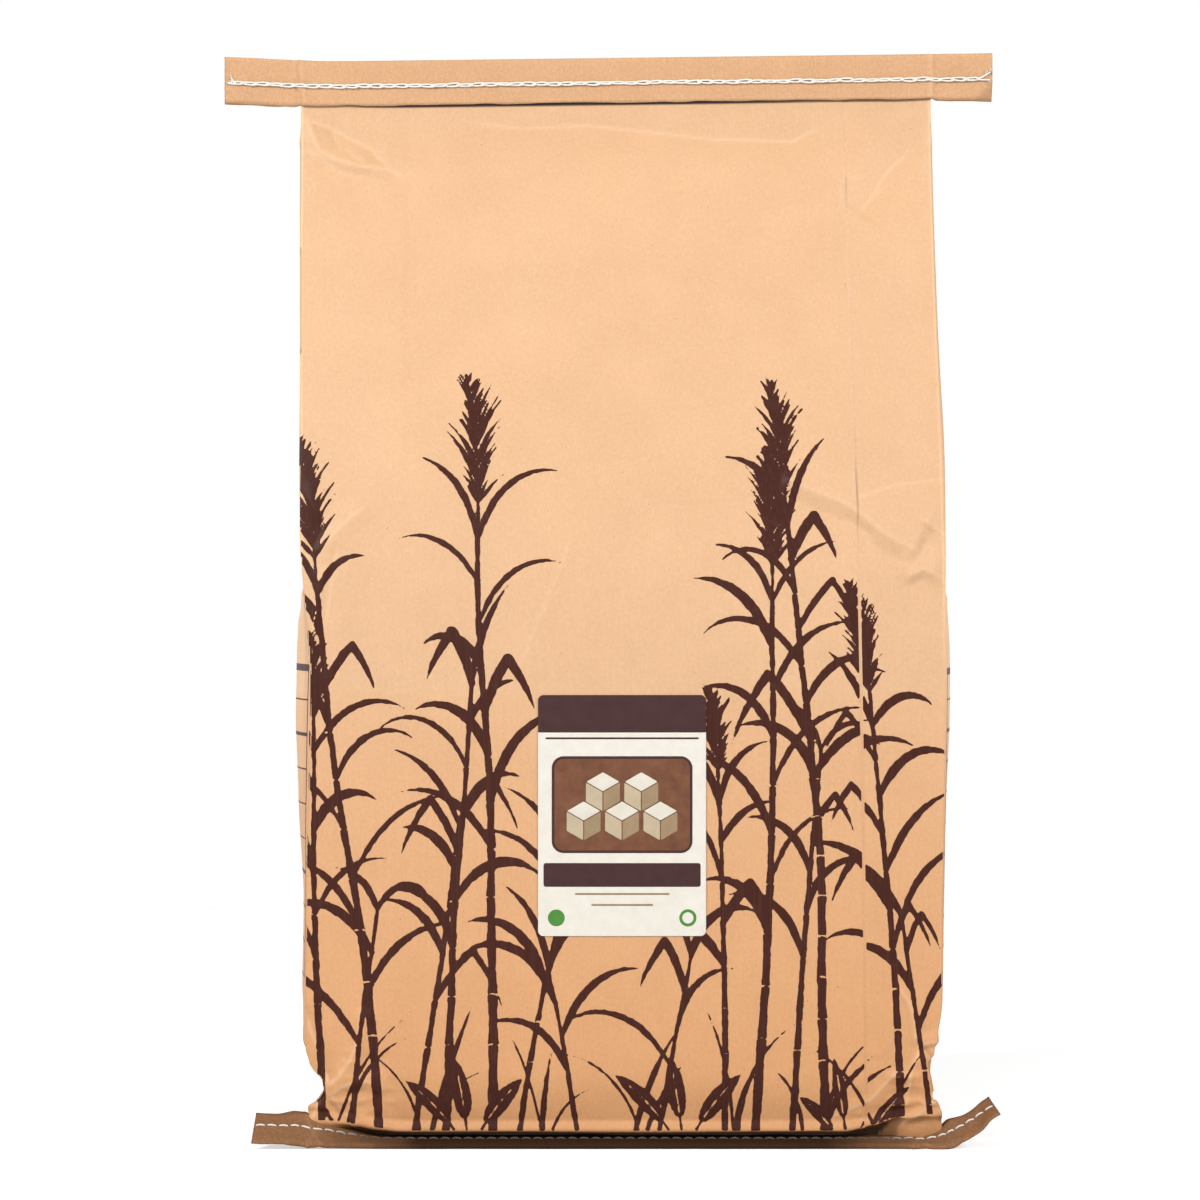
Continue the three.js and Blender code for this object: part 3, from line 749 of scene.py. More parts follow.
def painted_front_shade(rows):
    """Painted shade on the front paper: a shadow line and a soft darkening below the upper tape's raw edge,
    and deep shade under the tuck at the foot.
    """
    x, y, z = rows[..., 0], rows[..., 1], rows[..., 2]
    below = TAPE_BOTTOM + mouth_lift(x) - z
    middle = smooth(-172, -120, x) * (1 - 0.55 * smooth(40, 150, x)) * (1 - smooth(150, 176, x))
    line = 1 - smooth(0.5 + 0.5 * middle, 1.2 + 0.8 * middle, below)
    soft = 0.05 * (1 - smooth(0, 45, below))
    flap = FLAP_X + FLAP_LEAN * (z - crease_z(x))
    tucked = smooth(0.3, 2.2, crease_z(x) - z) * smooth(-158, -140, x)
    tucked *= 1 - 0.86 * smooth(flap - 0.8, flap + 0.8, x)
    dark = np.maximum(line * (0.35 + 0.65 * middle), soft)
    return np.where(y < 0, np.maximum(dark, 0.85 * tucked), 0.0)


def side_fold_painted_light(rows):
    """Painted light on the side folds: paler where the fold turns away from the lamps and would shade darker.
    """
    from_side = HALF_WIDTH - np.abs(rows[..., 0] - centre_x(rows[..., 2]))
    return (1 - smooth(0.3, 2.2, from_side)) * smooth(100, 330, rows[..., 2])


def make_skin(material):
    rows = skin_rows()
    lift, hard = skin_relief(rows)
    shown = rows + grid_normals(rows) * lift[..., None]
    shown[..., 2] = np.maximum(shown[..., 2], 0.0)
    row_count, column_count = rows.shape[:2]
    faces = grid_faces(row_count, column_count)
    count = row_count * column_count
    for i in range(column_count):
        faces.append(((i + 1) % column_count, i, count))
    top = count - column_count
    for i in range(column_count):
        faces.append((top + i, top + (i + 1) % column_count, count + 1))
    verts = np.vstack([shown.reshape(-1, 3), shown[0].mean(axis=0), shown[-1].mean(axis=0)])
    marks = {"fold": hard, "seam": seam_mark(rows), "shade": painted_front_shade(rows), "edge": side_fold_painted_light(rows)}
    marks = {name: [*values.ravel(), 0, 0] for name, values in marks.items()}
    piece = new_piece("sack_paper", verts, faces, material, "kraft_paper", marks=marks)
    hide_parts("sack")
    return piece


# Flat drawings as signed distances on a grid: below zero is inked
BLANK = 9.0
STROKE_MARGIN = 2


class Drawing:
    def __init__(self, x0, x1, z0, z1, cell):
        self.xs = np.arange(x0, x1 + cell / 2, cell)
        self.zs = np.arange(z0, z1 + cell / 2, cell)
        self.x, self.z = np.meshgrid(self.xs, self.zs)
        self.d = np.full(self.x.shape, BLANK)

    def stroke(self, points, radii, cut=False):
        """A brush stroke through the points, as wide at each as its radius says."""
        margin = max(radii) + STROKE_MARGIN
        ends = np.transpose((np.min(points, axis=0) - margin, np.max(points, axis=0) + margin))
        cols, rows = (slice(*np.searchsorted(at, end)) for at, end in zip((self.xs, self.zs), ends))
        x, z = self.x[rows, cols], self.z[rows, cols]
        if x.size == 0:
            return
        best = np.full(x.shape, BLANK)
        for k in range(len(points) - 1):
            d, t = to_segment(x, z, points[k], points[k + 1])
            best = np.minimum(best, d - (radii[k] + (radii[k + 1] - radii[k]) * t))
        old = self.d[rows, cols]
        self.d[rows, cols] = np.maximum(old, -best) if cut else np.minimum(old, best)


class Points:
    """Points kept once each, and numbered in the order that they are first asked for."""

    def __init__(self):
        self.ids, self.places = {}, []

    def number(self, key, place):
        if key not in self.ids:
            self.ids[key] = len(self.places)
            self.places.append(place)
        return self.ids[key]


def outline_mesh(drawing):
    """Grid cells of the inked area, cut along its outline: points, polygons and outline edges."""
    xs, zs, d = drawing.xs, drawing.zs, drawing.d
    inside = d < 0
    a, b, c, e = inside[:-1, :-1], inside[:-1, 1:], inside[1:, 1:], inside[1:, :-1]
    full = a & b & c & e
    part = (a | b | c | e) & ~full
    points = Points()

    def corner(j, i):
        return points.number((j, i), (xs[i], zs[j]))

    def crossing(j0, i0, j1, i1):
        t = min(0.95, max(0.05, d[j0, i0] / (d[j0, i0] - d[j1, i1])))
        place = (xs[i0] + (xs[i1] - xs[i0]) * t, zs[j0] + (zs[j1] - zs[j0]) * t)
        return points.number((min(j0, j1), min(i0, i1), j0 != j1), place)

    def walk(j, i):
        return (j, i), (j, i + 1), (j + 1, i + 1), (j + 1, i)

    polygons = [tuple(corner(*p) for p in walk(j, i)) for j, i in zip(*np.nonzero(full))]
    rim = []
    for j, i in zip(*np.nonzero(part)):
        corners = walk(j, i)
        polygon, crossed = [], []
        for p, q in zip(corners, corners[1:] + corners[:1]):
            if inside[p]:
                polygon.append(corner(*p))
                crossed.append(False)
            if inside[p] != inside[q]:
                polygon.append(crossing(*p, *q))
                crossed.append(bool(inside[p]))
        polygons.append(tuple(polygon))
        rim += [(polygon[k], polygon[(k + 1) % len(polygon)]) for k, cut in enumerate(crossed) if cut]
    return points.places, polygons, rim


FROM_FRONT = (0, 1, 0)
LOOK_FROM = 0.3


class Drape:
    """Lays flat drawings on a skin by a straight look at it along one axis."""

    def __init__(self, skin):
        verts = [v.co for v in skin.data.vertices]
        self.tree = BVHTree.FromPolygons(verts, [tuple(p.vertices) for p in skin.data.polygons])

    def at(self, u, z, look):
        """Where the look meets the skin, with the skin's normal there."""
        across = (u * MM, 0, z * MM) if look[1] else (0, u * MM, z * MM)
        start = Vector(across) - Vector(look) * LOOK_FROM
        return self.tree.ray_cast(start, Vector(look))[:2]

    def lay(self, name, drawing, look, rise, material, slot, keep=None, sink=0.12):
        """A thin piece: the drawing's inked area over the skin, with walls down into it all round."""
        points, polygons, rim = outline_mesh(drawing)
        top, low = {}, {}
        for k, (u, z) in enumerate(points):
            place, normal = self.at(u, z, look)
            if place is not None and (keep is None or keep(place)):
                top[k] = tuple((place + normal * rise * MM) / MM)
                low[k] = tuple((place - normal * sink * MM) / MM)
        used = Points()
        whole = [polygon for polygon in polygons if all(k in top for k in polygon)]
        faces = [[used.number(k, top[k]) for k in polygon] for polygon in whole]
        flat_from = len(faces)
        for a, b in rim:
            if a in used.ids and b in used.ids:
                under = [used.number((k, 0), low[k]) for k in (a, b)]
                faces.append([used.ids[a], *under, used.ids[b]])
        if look[1] < 0 or look[0] > 0:
            faces = [face[::-1] for face in faces]
        return new_piece(name, used.places, faces, material, slot, slice(flat_from, None))


# The field of cane printed on the sack
def bend(start, angle, length, droop, steps):
    """A line that starts at an angle from upright and bends over as it goes."""
    x, z = start
    points = [(x, z)]
    step = length / steps
    for k in range(steps):
        turn = angle + droop * ((k + 0.5) / steps) ** 1.6
        x += math.sin(turn) * step
        z += math.cos(turn) * step
        points.append((x, z))
    return points


def swell(t, power, start=0.2):
    """How wide a leaf is along its length: from a foot to its widest to a point."""
    return math.sin(math.pi * min(1.0, start + (1 - start) * t)) ** power


def leaf(drawing, points, width, power, start=0.2):
    last = len(points) - 1
    drawing.stroke(points, [max(THINNEST, width * swell(k / last, power, start)) for k in range(last + 1)])


def blade(drawing, start, angle, length, droop, width):
    leaf(drawing, bend(start, angle, length, droop, 14), width, 0.8, 0.16)


def snapped_blade(drawing, start, angle, length, side, width):
    """A strap leaf that has snapped over: up to the knee, then hanging."""
    up = bend(start, angle, length * 0.5, side * 0.35, 6)
    leaf(drawing, up + bend(up[-1], side * 2.55, length * 0.5, side * 0.3, 6)[1:], width, 0.7)


def plume(drawing, start, angle, length, rng):
    """A feathery flower head: a thin axis with steep branches, longest low down."""
    steps = 15
    axis = bend(start, angle, length, angle + rng.uniform(-0.25, 0.25), steps)
    drawing.stroke(axis, [1.0 - 0.6 * k / steps for k in range(steps + 1)])
    for k in range(1, steps):
        share = k / steps
        reach = length * (0.34 * swell(share, 1) + 0.05)
        for side in (-1, -1, 1, 1):
            spread = side * rng.uniform(0.22, 0.62) * (1 - 0.4 * share)
            tip = bend(axis[k], angle + spread, reach * rng.uniform(0.55, 1.05), side * 0.35, 5)
            drawing.stroke(tip, [0.5, 0.95, 1.15, 0.8, 0.45, 0.15])


def broad_leaf(drawing, start, angle, length, droop, width):
    """A stalked round leaf with its midrib left bare."""
    steps = 16
    points = bend(start, angle, length, droop, steps)
    radii = []
    for k in range(steps + 1):
        t = k / steps
        body = max(0.0, (t - 0.30) / 0.70)
        radii.append(0.75 if t < 0.32 else max(0.15, width * math.sin(math.pi * body ** 0.8) ** 0.75))
    drawing.stroke(points, radii)
    drawing.stroke(points[6:14], [0.34] * 8, cut=True)


def stalk_line(root, height, lean, rng):
    joints = max(5, int(height / rng.uniform(20, 27)))
    stalk, angle = [(root, 0.0)], lean
    for k in range(joints):
        angle += rng.uniform(-0.04, 0.04)
        x, z = stalk[-1]
        step = height / joints * (1.12 - 0.24 * k / joints)
        stalk.append((x + math.sin(angle) * step, z + math.cos(angle) * step))
    return stalk, angle


def cane(drawing, root, height, lean, width, rng, leaves, flower):
    """One cane: a jointed stalk, strap leaves from its upper joints, and perhaps a plume."""
    stalk, angle = stalk_line(root, height, lean, rng)
    joints = len(stalk) - 1
    radii = [width * (1.0 - 0.5 * k / joints) for k in range(joints + 1)]
    for k in range(joints):
        (ax, az), (bx, bz) = stalk[k], stalk[k + 1]
        mid = ((ax + bx) / 2, (az + bz) / 2)
        drawing.stroke([(ax, az), mid, (bx, bz)], [radii[k], radii[k] * 0.78, radii[k + 1]])
    for k in range(2, joints):
        x, z = stalk[k]
        reach = radii[k] + 0.8
        drawing.stroke([(x - reach, z - 0.3), (x, z + 0.3), (x + reach, z - 0.3)], [0.34] * 3, cut=True)
    first = max(1, joints - leaves)
    for k in range(first, joints + 1):
        side = 1 if (k + int(abs(root))) % 2 else -1
        share = (k - first) / max(1, joints - first)
        length = rng.uniform(48, 92) * (1 - 0.3 * share)
        wide = rng.uniform(1.5, 2.9)
        lift = side * rng.uniform(0.2, 0.55)
        if rng.uniform() < 0.3:
            snapped_blade(drawing, stalk[k], lift, length, side, wide)
        else:
            blade(drawing, stalk[k], lift, length, side * rng.uniform(0.9, 2.3), wide)
        if k == joints:
            blade(drawing, stalk[k], -lift * 0.7, length * 0.95, -side * rng.uniform(0.5, 1.5), 2.0)
    if flower:
        top = stalk[-1]
        blade(drawing, top, angle, 30, 0.05, 0.9)
        plume(drawing, (top[0] + math.sin(angle) * 15, top[1] + math.cos(angle) * 15), angle, flower, rng)


def tuft(drawing, root, count, reach, rng):
    for k in range(count):
        side = -1 if k % 2 else 1
        start = (root + rng.uniform(-6, 6), 0.0)
        blade(drawing, start, side * rng.uniform(0.02, 0.34), reach * rng.uniform(0.45, 1.1),
              side * rng.uniform(0.1, 1.2), rng.uniform(0.8, 1.9))


def leafy_clump(drawing, root, size, rng):
    for k, angle in enumerate((-0.58, -0.12, 0.5)):
        length = size * rng.uniform(0.8, 1.15)
        start = (root + 2.0 * (k - 1.5), 0.0)
        broad_leaf(drawing, start, angle, length, angle * 0.7, size * rng.uniform(0.075, 0.105))


# Each cane as (root, height, lean, half width, leaves, plume length)
FRONT_CANES = [
    (-166, 214, 0.00, 2.5, 5, 52), (-150, 128, 0.10, 1.9, 3, 0), (-134, 302, -0.04, 2.9, 7, 72),
    (-116, 176, 0.12, 2.1, 4, 0), (-98, 252, 0.03, 2.6, 6, 0), (-72, 330, -0.01, 3.1, 7, 78),
    (-58, 150, 0.10, 1.9, 3, 46), (-24, 96, -0.16, 1.8, 3, 0), (18, 104, 0.16, 1.8, 3, 0),
    (56, 186, -0.05, 2.2, 4, 50), (72, 296, 0.02, 2.9, 7, 70), (92, 216, 0.06, 2.3, 5, 0),
    (112, 340, -0.03, 3.0, 7, 66), (150, 236, 0.02, 2.5, 6, 58), (168, 132, -0.10, 1.9, 3, 0),
]
FRONT_TUFTS = (-158, -108, -40, 8, 58, 104, 144)
FRONT_CLUMPS = ((-84, 50), (34, 54), (124, 44))
BACK_CANES = [
    (-158, 190, 0.03, 2.4, 5, 0), (-128, 292, 0.02, 2.9, 7, 70), (-104, 150, 0.10, 2.0, 3, 0),
    (-82, 226, -0.04, 2.5, 5, 56), (-44, 330, 0.03, 3.0, 7, 74), (-6, 150, 0.09, 2.1, 4, 0),
    (38, 262, -0.03, 2.7, 6, 0), (64, 140, 0.10, 2.0, 3, 44), (84, 310, 0.01, 2.9, 7, 68),
    (122, 206, -0.02, 2.4, 5, 0), (156, 268, -0.05, 2.6, 6, 60),
]
BACK_TUFTS = (-146, -98, -52, -4, 42, 98, 140)
BACK_CLUMPS = ((-68, 52), (18, 50), (104, 54))
PRINT_BOX = (-184, 184, 0, 440)
PRINT_CELL = 0.78
TABLE_CELL = 0.8
TUFT_BLADES = 3
TUFT_REACH = 74
THINNEST = 0.12
INK_RISE = 0.12
PRINT_MARGIN = 3.5
TABLE_ROWS = 9
SEAM_SLIP_UP = -9
SEAM_SLIP_RIGHT = 4


def cane_field(canes, seed, tufts, clumps):
    rng = np.random.RandomState(seed)
    drawing = Drawing(*PRINT_BOX, PRINT_CELL)
    for root, height, lean, width, leaves, flower in canes:
        cane(drawing, root, height, lean, width, rng, leaves, flower)
    for root in tufts:
        tuft(drawing, root, TUFT_BLADES, TUFT_REACH, rng)
    for root, size in clumps:
        leafy_clump(drawing, root, size, rng)
    x, z = drawing.x, drawing.z
    rough = Noise(seed + 70)
    drawing.d += 0.28 * rough.at(x / 2.6, z / 3.4) + 0.12 * rough.at(x / 1.3 + 9, z / 1.6)
    return drawing


def cut_at_seam(drawing):
    """Right of the glued seam the print is out of step, and the seam itself is bare."""
    from_seam = drawing.x - glue_seam_x(drawing.z)
    moved = np.roll(drawing.d, (SEAM_SLIP_UP, SEAM_SLIP_RIGHT), axis=(0, 1))
    moved[SEAM_SLIP_UP:] = BLANK
    drawing.d = np.where(from_seam > 0, moved, drawing.d)
    drawing.d = np.maximum(drawing.d, 0.9 - np.abs(from_seam - 0.4))


def cut_at_crease(drawing):
    drawing.d = np.maximum(drawing.d, crease_z(drawing.x) + 0.8 - drawing.z)


def table_outline(y0, y1, z0, z1):
    """An empty printed table: a box with a thick head rule and thin row rules."""
    drawing = Drawing(y0 - 3, y1 + 3, z0 - 3, z1 + 3, TABLE_CELL)
    drawing.stroke([(y0, z0), (y1, z0), (y1, z1), (y0, z1), (y0, z0)], [0.5] * 5)
    rules = [(z1 - 1.6, 1.7)]
    rules += [(z1 - (z1 - z0) * k / TABLE_ROWS, 0.95 if k in (2, 6) else 0.42) for k in range(1, TABLE_ROWS)]
    for z, half in rules:
        drawing.stroke([(y0, z), (y1, z)], [half, half])
    return drawing


# The label
LABEL_X = (-46.8, 45.2)
LABEL_Z = (116.0, 248.0)
LABEL_CELL = 0.6
LABEL_RISE = 0.55
LAYER_RISE = 0.05
CUBE_SIZE = 11.0


def rounded_box(x, z, x0, x1, z0, z1, r):
    dx = np.abs(x - (x0 + x1) / 2) - (x1 - x0) / 2 + r
    dz = np.abs(z - (z0 + z1) / 2) - (z1 - z0) / 2 + r
    return np.hypot(np.maximum(dx, 0), np.maximum(dz, 0)) + np.minimum(np.maximum(dx, dz), 0) - r


def label_drawing(shape):
    drawing = Drawing(LABEL_X[0] - 1, LABEL_X[1] + 1, LABEL_Z[0] - 1, LABEL_Z[1] + 1, LABEL_CELL)
    drawing.d = shape(drawing.x, drawing.z)
    return drawing


def polygon_distance(x, z, corners):
    """Signed distance to a convex polygon given counter-clockwise."""
    d = np.full(x.shape, -1e9)
    for (ax, az), (bx, bz) in zip(corners, corners[1:] + corners[:1]):
        dx, dz = bx - ax, bz - az
        d = np.maximum(d, ((x - ax) * dz - (z - az) * dx) / math.hypot(dx, dz))
    return d


def cube_faces(cx, cz, size):
    """The top, left and right faces of a sugar cube seen from above one corner."""
    w, h = size * 0.87, size * 0.5
    top = [(cx, cz), (cx + w, cz + h), (cx, cz + 2 * h), (cx - w, cz + h)]
    left = [(cx, cz - size), (cx, cz), (cx - w, cz + h), (cx - w, cz + h - size)]
    right = [(cx, cz - size), (cx + w, cz + h - size), (cx + w, cz + h), (cx, cz)]
    return top, left, right


def cubes_shape(cubes, side):
    """One side of every cube in the label's stack, a little smaller than the cube's."""
    def shape(x, z):
        faces = [cube_faces(cx, cz, CUBE_SIZE)[side] for cx, cz in cubes]
        return np.min([polygon_distance(x, z, face) for face in faces], axis=0) + 0.25
    return shape


def make_label(drape):
    (x0, x1), (z0, z1) = LABEL_X, LABEL_Z
    middle = (x0 + x1) / 2
    inks = {name: flat_print("label_" + name, *ink) for name, ink in LABEL_INKS.items()}

    def sheet(x, z):
        return rounded_box(x, z, x0, x1, z0, z1, 3)

    base = drape.lay("label_sheet", label_drawing(sheet), FROM_FRONT, LABEL_RISE, inks["cream"],
                     "label_paper", sink=0.05)
    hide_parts("label")
    panel = (middle - 38, middle + 38, z0 + 46, z0 + 98, 6)
    low_row, high_row = panel[2] + 17, panel[2] + 33
    cubes = [(middle + x, low_row) for x in (-21, 0, 21)] + [(middle + x, high_row) for x in (-10.5, 10.5)]
    prints = [
        ("head_band", "band", 1, lambda x, z: np.maximum(sheet(x, z), (z1 - 20.5) - z)),
        ("head_line", "band", 1, lambda x, z: rounded_box(x, z, x0 + 4, x1 - 4, z1 - 24.2, z1 - 23.2, 0.3)),
        ("panel_ground", "panel", 1, lambda x, z: rounded_box(x, z, *panel)),
        ("panel_frame", "band", 2, lambda x, z: np.abs(rounded_box(x, z, *panel) + 0.2) - 0.7),
        ("cube_tops", "sugar_light", 3, cubes_shape(cubes, 0)),
        ("cube_lefts", "sugar_mid", 3, cubes_shape(cubes, 1)),
        ("cube_rights", "sugar_shade", 3, cubes_shape(cubes, 2)),
        ("low_band", "band", 1, lambda x, z: rounded_box(x, z, x0 + 3, x1 - 3, z0 + 27, z0 + 40, 1.2)),
        ("rules", "sugar_shade", 1, lambda x, z: np.minimum(
            rounded_box(x, z, middle - 26, middle + 26, z0 + 22.6, z0 + 23.6, 0.3),
            rounded_box(x, z, middle - 17, middle + 17, z0 + 16.6, z0 + 17.6, 0.3))),
        ("dots", "green", 1, lambda x, z: np.minimum(
            np.hypot(x - x0 - 10, z - z0 - 10) - 4.6,
            np.abs(np.hypot(x - x1 + 10, z - z0 - 10) - 3.9) - 0.8)),
    ]
    for name, ink, layer, shape in prints:
        drape.lay("label_" + name, label_drawing(shape), FROM_FRONT, LABEL_RISE + LAYER_RISE * layer,
                  inks[ink], "label_paper", sink=-0.5)


# Folded tape: a long strip folded over the paper's edge, placed by a function of (along, across, out)
TAPE_ROWS = 340
FOLD_ANGLES = (20, 50)
FLAT_PLACES = (2.2, 4.6, 7.0, 9.4, 11.8, 14.2, 16.6, 19.0, 21.4, 23.6)


def tape_section(half, raw, flare, ripple):
    """The folded sheet cut across: outer face from one raw edge round the fold to the other, then back."""
    gap = max(0.04, half - TAPE_WALL)
    curve = [(half - half * math.cos(a), half * math.sin(a)) for a in map(math.radians, FOLD_ANGLES)]
    front = [(raw[0], half + flare[0])] + [(w, half + ripple(w, 0)) for w in FLAT_PLACES[::-1]]
    front += curve[::-1] + [(0.0, 0.0)]
    back = [(w, -n) for w, n in curve]
    back += [(w, -half - ripple(w, 1)) for w in FLAT_PLACES] + [(raw[1], -half - flare[1])]
    inner = []
    for w, n in front + back:
        side = 1 if n > 0 else -1
        if w > FLAT_PLACES[0] - 0.1:
            inner.append((w, n - side * (half - gap)))
        else:
            inner.append((TAPE_WALL + 0.4 + w * 0.5, side * min(gap, abs(n)) * 0.9))
    return front + back + inner[::-1]


def folded_tape(name, tape, start, end, material, node, seed, raw_extra, worn):
    """across is 0 at the fold and TAPE_HEIGHT at the raw edge; out is the distance from the middle."""
    place, half_at, bend_out = tape
    ragged = Noise(seed)
    verts, folds = [], []
    for s in np.linspace(start, end, TAPE_ROWS):
        raw = [TAPE_HEIGHT + raw_extra(s, k) + 0.45 * float(ragged.at(s / 11, k * 3.3)) for k in (0, 1)]
        flare = [0.30 * (1 + float(ragged.at(s / 21, 9 + k * 3.3))) for k in (0, 1)]

        def ripple(w, k):
            broad = 0.18 * float(ragged.at(s / 13, w / 8 + 20 * k))
            fine = 0.09 * float(ragged.at(s / 3.1, w / 6 + 30 * k))
            return (broad + fine) * math.sin(math.pi * w / TAPE_HEIGHT)

        section = tape_section(half_at(s), raw, flare, ripple)
        verts += [place(s, w, n + bend_out(s, w)) for w, n in section]
        folds += [worn(s, w) for w, _ in section]
    columns = len(section)
    faces = grid_faces(TAPE_ROWS, columns)
    flat_from = len(faces)
    for first, flip in ((0, False), (len(verts) - columns, True)):
        for k in range(columns // 2 - 1):
            quad = (first + k, first + k + 1, first + columns - 2 - k, first + columns - 1 - k)
            faces.append(quad[::-1] if flip else quad)
    piece = new_piece(name, verts, faces, material, "crepe_tape", slice(flat_from, None), {"fold": folds})
    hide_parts(node)


TAPE_NOISE = Noise(151)
MOUTH_LEFT = MOUTH_SHIFT - HALF_WIDTH
MOUTH_RIGHT = MOUTH_SHIFT + HALF_WIDTH
TAPE_SLANT = 0.12
# Creases across the lower tape's ends as (place, lean, height, reach)
LOW_KINKS = [
    (-166, -0.35, 0.9, 1.5), (-173, 0.30, -0.7, 1.8), (166, -0.5, 0.7, 1.3), (158, 0.3, -0.5, 1.5),
    (188, 0.6, 0.0, 1.0),
]


def tape_fold(s, at, height, reach):
    return height * math.exp(-abs(s - at) / reach)


def slanted(x, w):
    """The place along the upper tape, measured square to the crease at its left end."""
    return x - (w - 12) * TAPE_SLANT


def top_bend(x, w):
    """The upper tape creases where the sack ends inside it, and its free ends aren't flat."""
    left = slanted(x, w)
    out = tape_fold(left, MOUTH_LEFT + 0.6, 1.4, 1.2) - tape_fold(left, MOUTH_LEFT - 3.0, 1.2, 2.2)
    out += tape_fold(x, MOUTH_RIGHT - 0.2, 1.3, 1.2) - tape_fold(x, MOUTH_RIGHT + 2.8, 0.9, 1.8)
    ear = float(smooth(HALF_WIDTH, HALF_WIDTH + 10, abs(x - MOUTH_SHIFT)))
    out += ear * 0.9 * float(TAPE_NOISE.at(x / 19, w / 16))
    corner = max(0.0, (w - 21.5) + (x - 203)) if x > 190 else 0.0
    return out - 0.42 * corner


# Painted highlight along the creases where the sack ends inside the upper tape
def top_crease_highlight(x, w):
    kink = 0.6 * float(TAPE_NOISE.at(w / 5, 3.3))
    left = abs(slanted(x, w) - kink - (MOUTH_LEFT + 0.9))
    right = abs(x + kink - (MOUTH_RIGHT + 0.1))
    return math.exp(-(min(left, right) / 0.9) ** 2) * (0.55 + 0.45 * float(TAPE_NOISE.at(x / 9, w / 6)))


# Paler lines along the lower tape's kinks: partly wear, partly painted highlight
def low_crease_wear_and_highlight(s, w):
    return 0.6 * max(math.exp(-((s - at - lean * w) / 0.8) ** 2) for at, lean, _, _ in LOW_KINKS)


def low_bend(s, w):
    """The lower tape's ears are crumpled."""
    ear = float(smooth(158, 180, abs(s)))
    out = ear * 1.5 * float(TAPE_NOISE.at(s / 13 + 3, w / 12))
    out += ear * 0.8 * (0.5 - abs(float(TAPE_NOISE.at(s / 9 + 8, w / 9 + 5))))
    return out + sum(tape_fold(s - lean * w, at, height, reach) for at, lean, height, reach in LOW_KINKS)


def top_raw_extra(x, k):
    return 1.2 * float(smooth(HALF_WIDTH, HALF_WIDTH + 4, abs(x - MOUTH_SHIFT)))


def low_raw_extra(s, k):
    lip = math.exp(-((s + 182) / 7) ** 2) if k == 0 else 0.0
    return 2.2 * lip + 0.5 * float(smooth(150, 170, abs(s)))


def top_place(x, w, n):
    return (x, -n, MOUTH_HEIGHT - w + float(mouth_lift(x)))


def tape_half_at(x, middle):
    thin = float(smooth(HALF_WIDTH + 1, HALF_WIDTH + 14, abs(x - middle)))
    return TAPE_HALF - (TAPE_HALF - EAR_HALF) * thin


def seam_angles(s):
    twist_left, twist_right = float(smooth(*LEFT_TWIST, -s)), float(smooth(*RIGHT_TWIST, s))
    bend_left, bend_right = float(smooth(*EAR_BEND, -s)), float(smooth(*EAR_BEND, s))
    tilt = SEAM_TILT + LEFT_EAR_TILT * twist_left + RIGHT_EAR_TILT * twist_right
    return tilt, RIGHT_EAR_RISE * bend_right - LEFT_EAR_RISE * bend_left


SEAM_START = -HALF_WIDTH - BOTTOM_EAR_LEFT
SEAM_END = HALF_WIDTH + BOTTOM_EAR_RIGHT


def seam_line():
    """The lower fold's path, walked outwards from the middle so that it keeps its length."""
    step = 1.0
    lines = []
    for direction, length in ((-1, -SEAM_START), (1, SEAM_END)):
        x = z = s = 0.0
        line = []
        while s <= length + 2 * step:
            line.append((direction * s, x, z))
            _, rise = seam_angles(direction * s)
            x += direction * math.cos(rise) * step
            z += direction * math.sin(rise) * step
            s += step
        lines.append(line)
    return np.array(lines[0][::-1] + lines[1][1:])


SEAM_LINE = seam_line()


def seam_place(s, w, n):
    tilt, rise = seam_angles(s)
    x, z = (np.interp(s, SEAM_LINE[:, 0], SEAM_LINE[:, k]) for k in (1, 2))
    across = np.array((-math.sin(rise) * math.sin(tilt), math.cos(tilt), math.cos(rise) * math.sin(tilt)))
    up = np.cross((math.cos(rise), 0.0, math.sin(rise)), across)
    return np.array((x, SEAM_FRONT_Y, z + TAPE_HALF)) + across * w + up * n


# Thread
CHAIN_PITCH = 7.15
LOWER_PITCH = 6.4
STRAND = 0.52
LOOP_STEPS = 18
STITCH_STEPS = 10
TUBE_SIDE = (0.03, 0.95, 0.31)


def tube(verts, faces, path, radii, sides=7, closed=False):
    """Adds a round tube along a path of points to a growing mesh."""
    path, radii = np.array(path, float), np.array(radii)[:, None, None]
    if closed:
        tangents = np.roll(path, -1, axis=0) - np.roll(path, 1, axis=0)
    else:
        tangents = np.gradient(path, axis=0)
    tangents = unit(tangents)
    side = unit(np.cross(tangents, TUBE_SIDE))
    other = np.cross(tangents, side)
    turns = (2 * math.pi * np.arange(sides) / sides)[:, None]
    spokes = np.cos(turns) * side[:, None] + np.sin(turns) * other[:, None]
    first, count = len(verts), len(path) * sides
    verts.extend((path[:, None] + radii * spokes).reshape(-1, 3))
    faces += (np.array(grid_faces(len(path) + closed, sides)) % count + first).tolist()
    if not closed:
        last = first + count - sides
        faces += [list(range(first, first + sides))[::-1], list(range(last, last + sides))]


def over_tape(tape, side, end=math.inf):
    """Gives the function that places thread on one face of a tape. side is 1 in front and -1 behind."""
    place, half_at, bend_out = tape

    def at(s, w, rise):
        s = min(s, end)
        return place(s, w, side * (half_at(s) + rise) + bend_out(s, w))
    return at


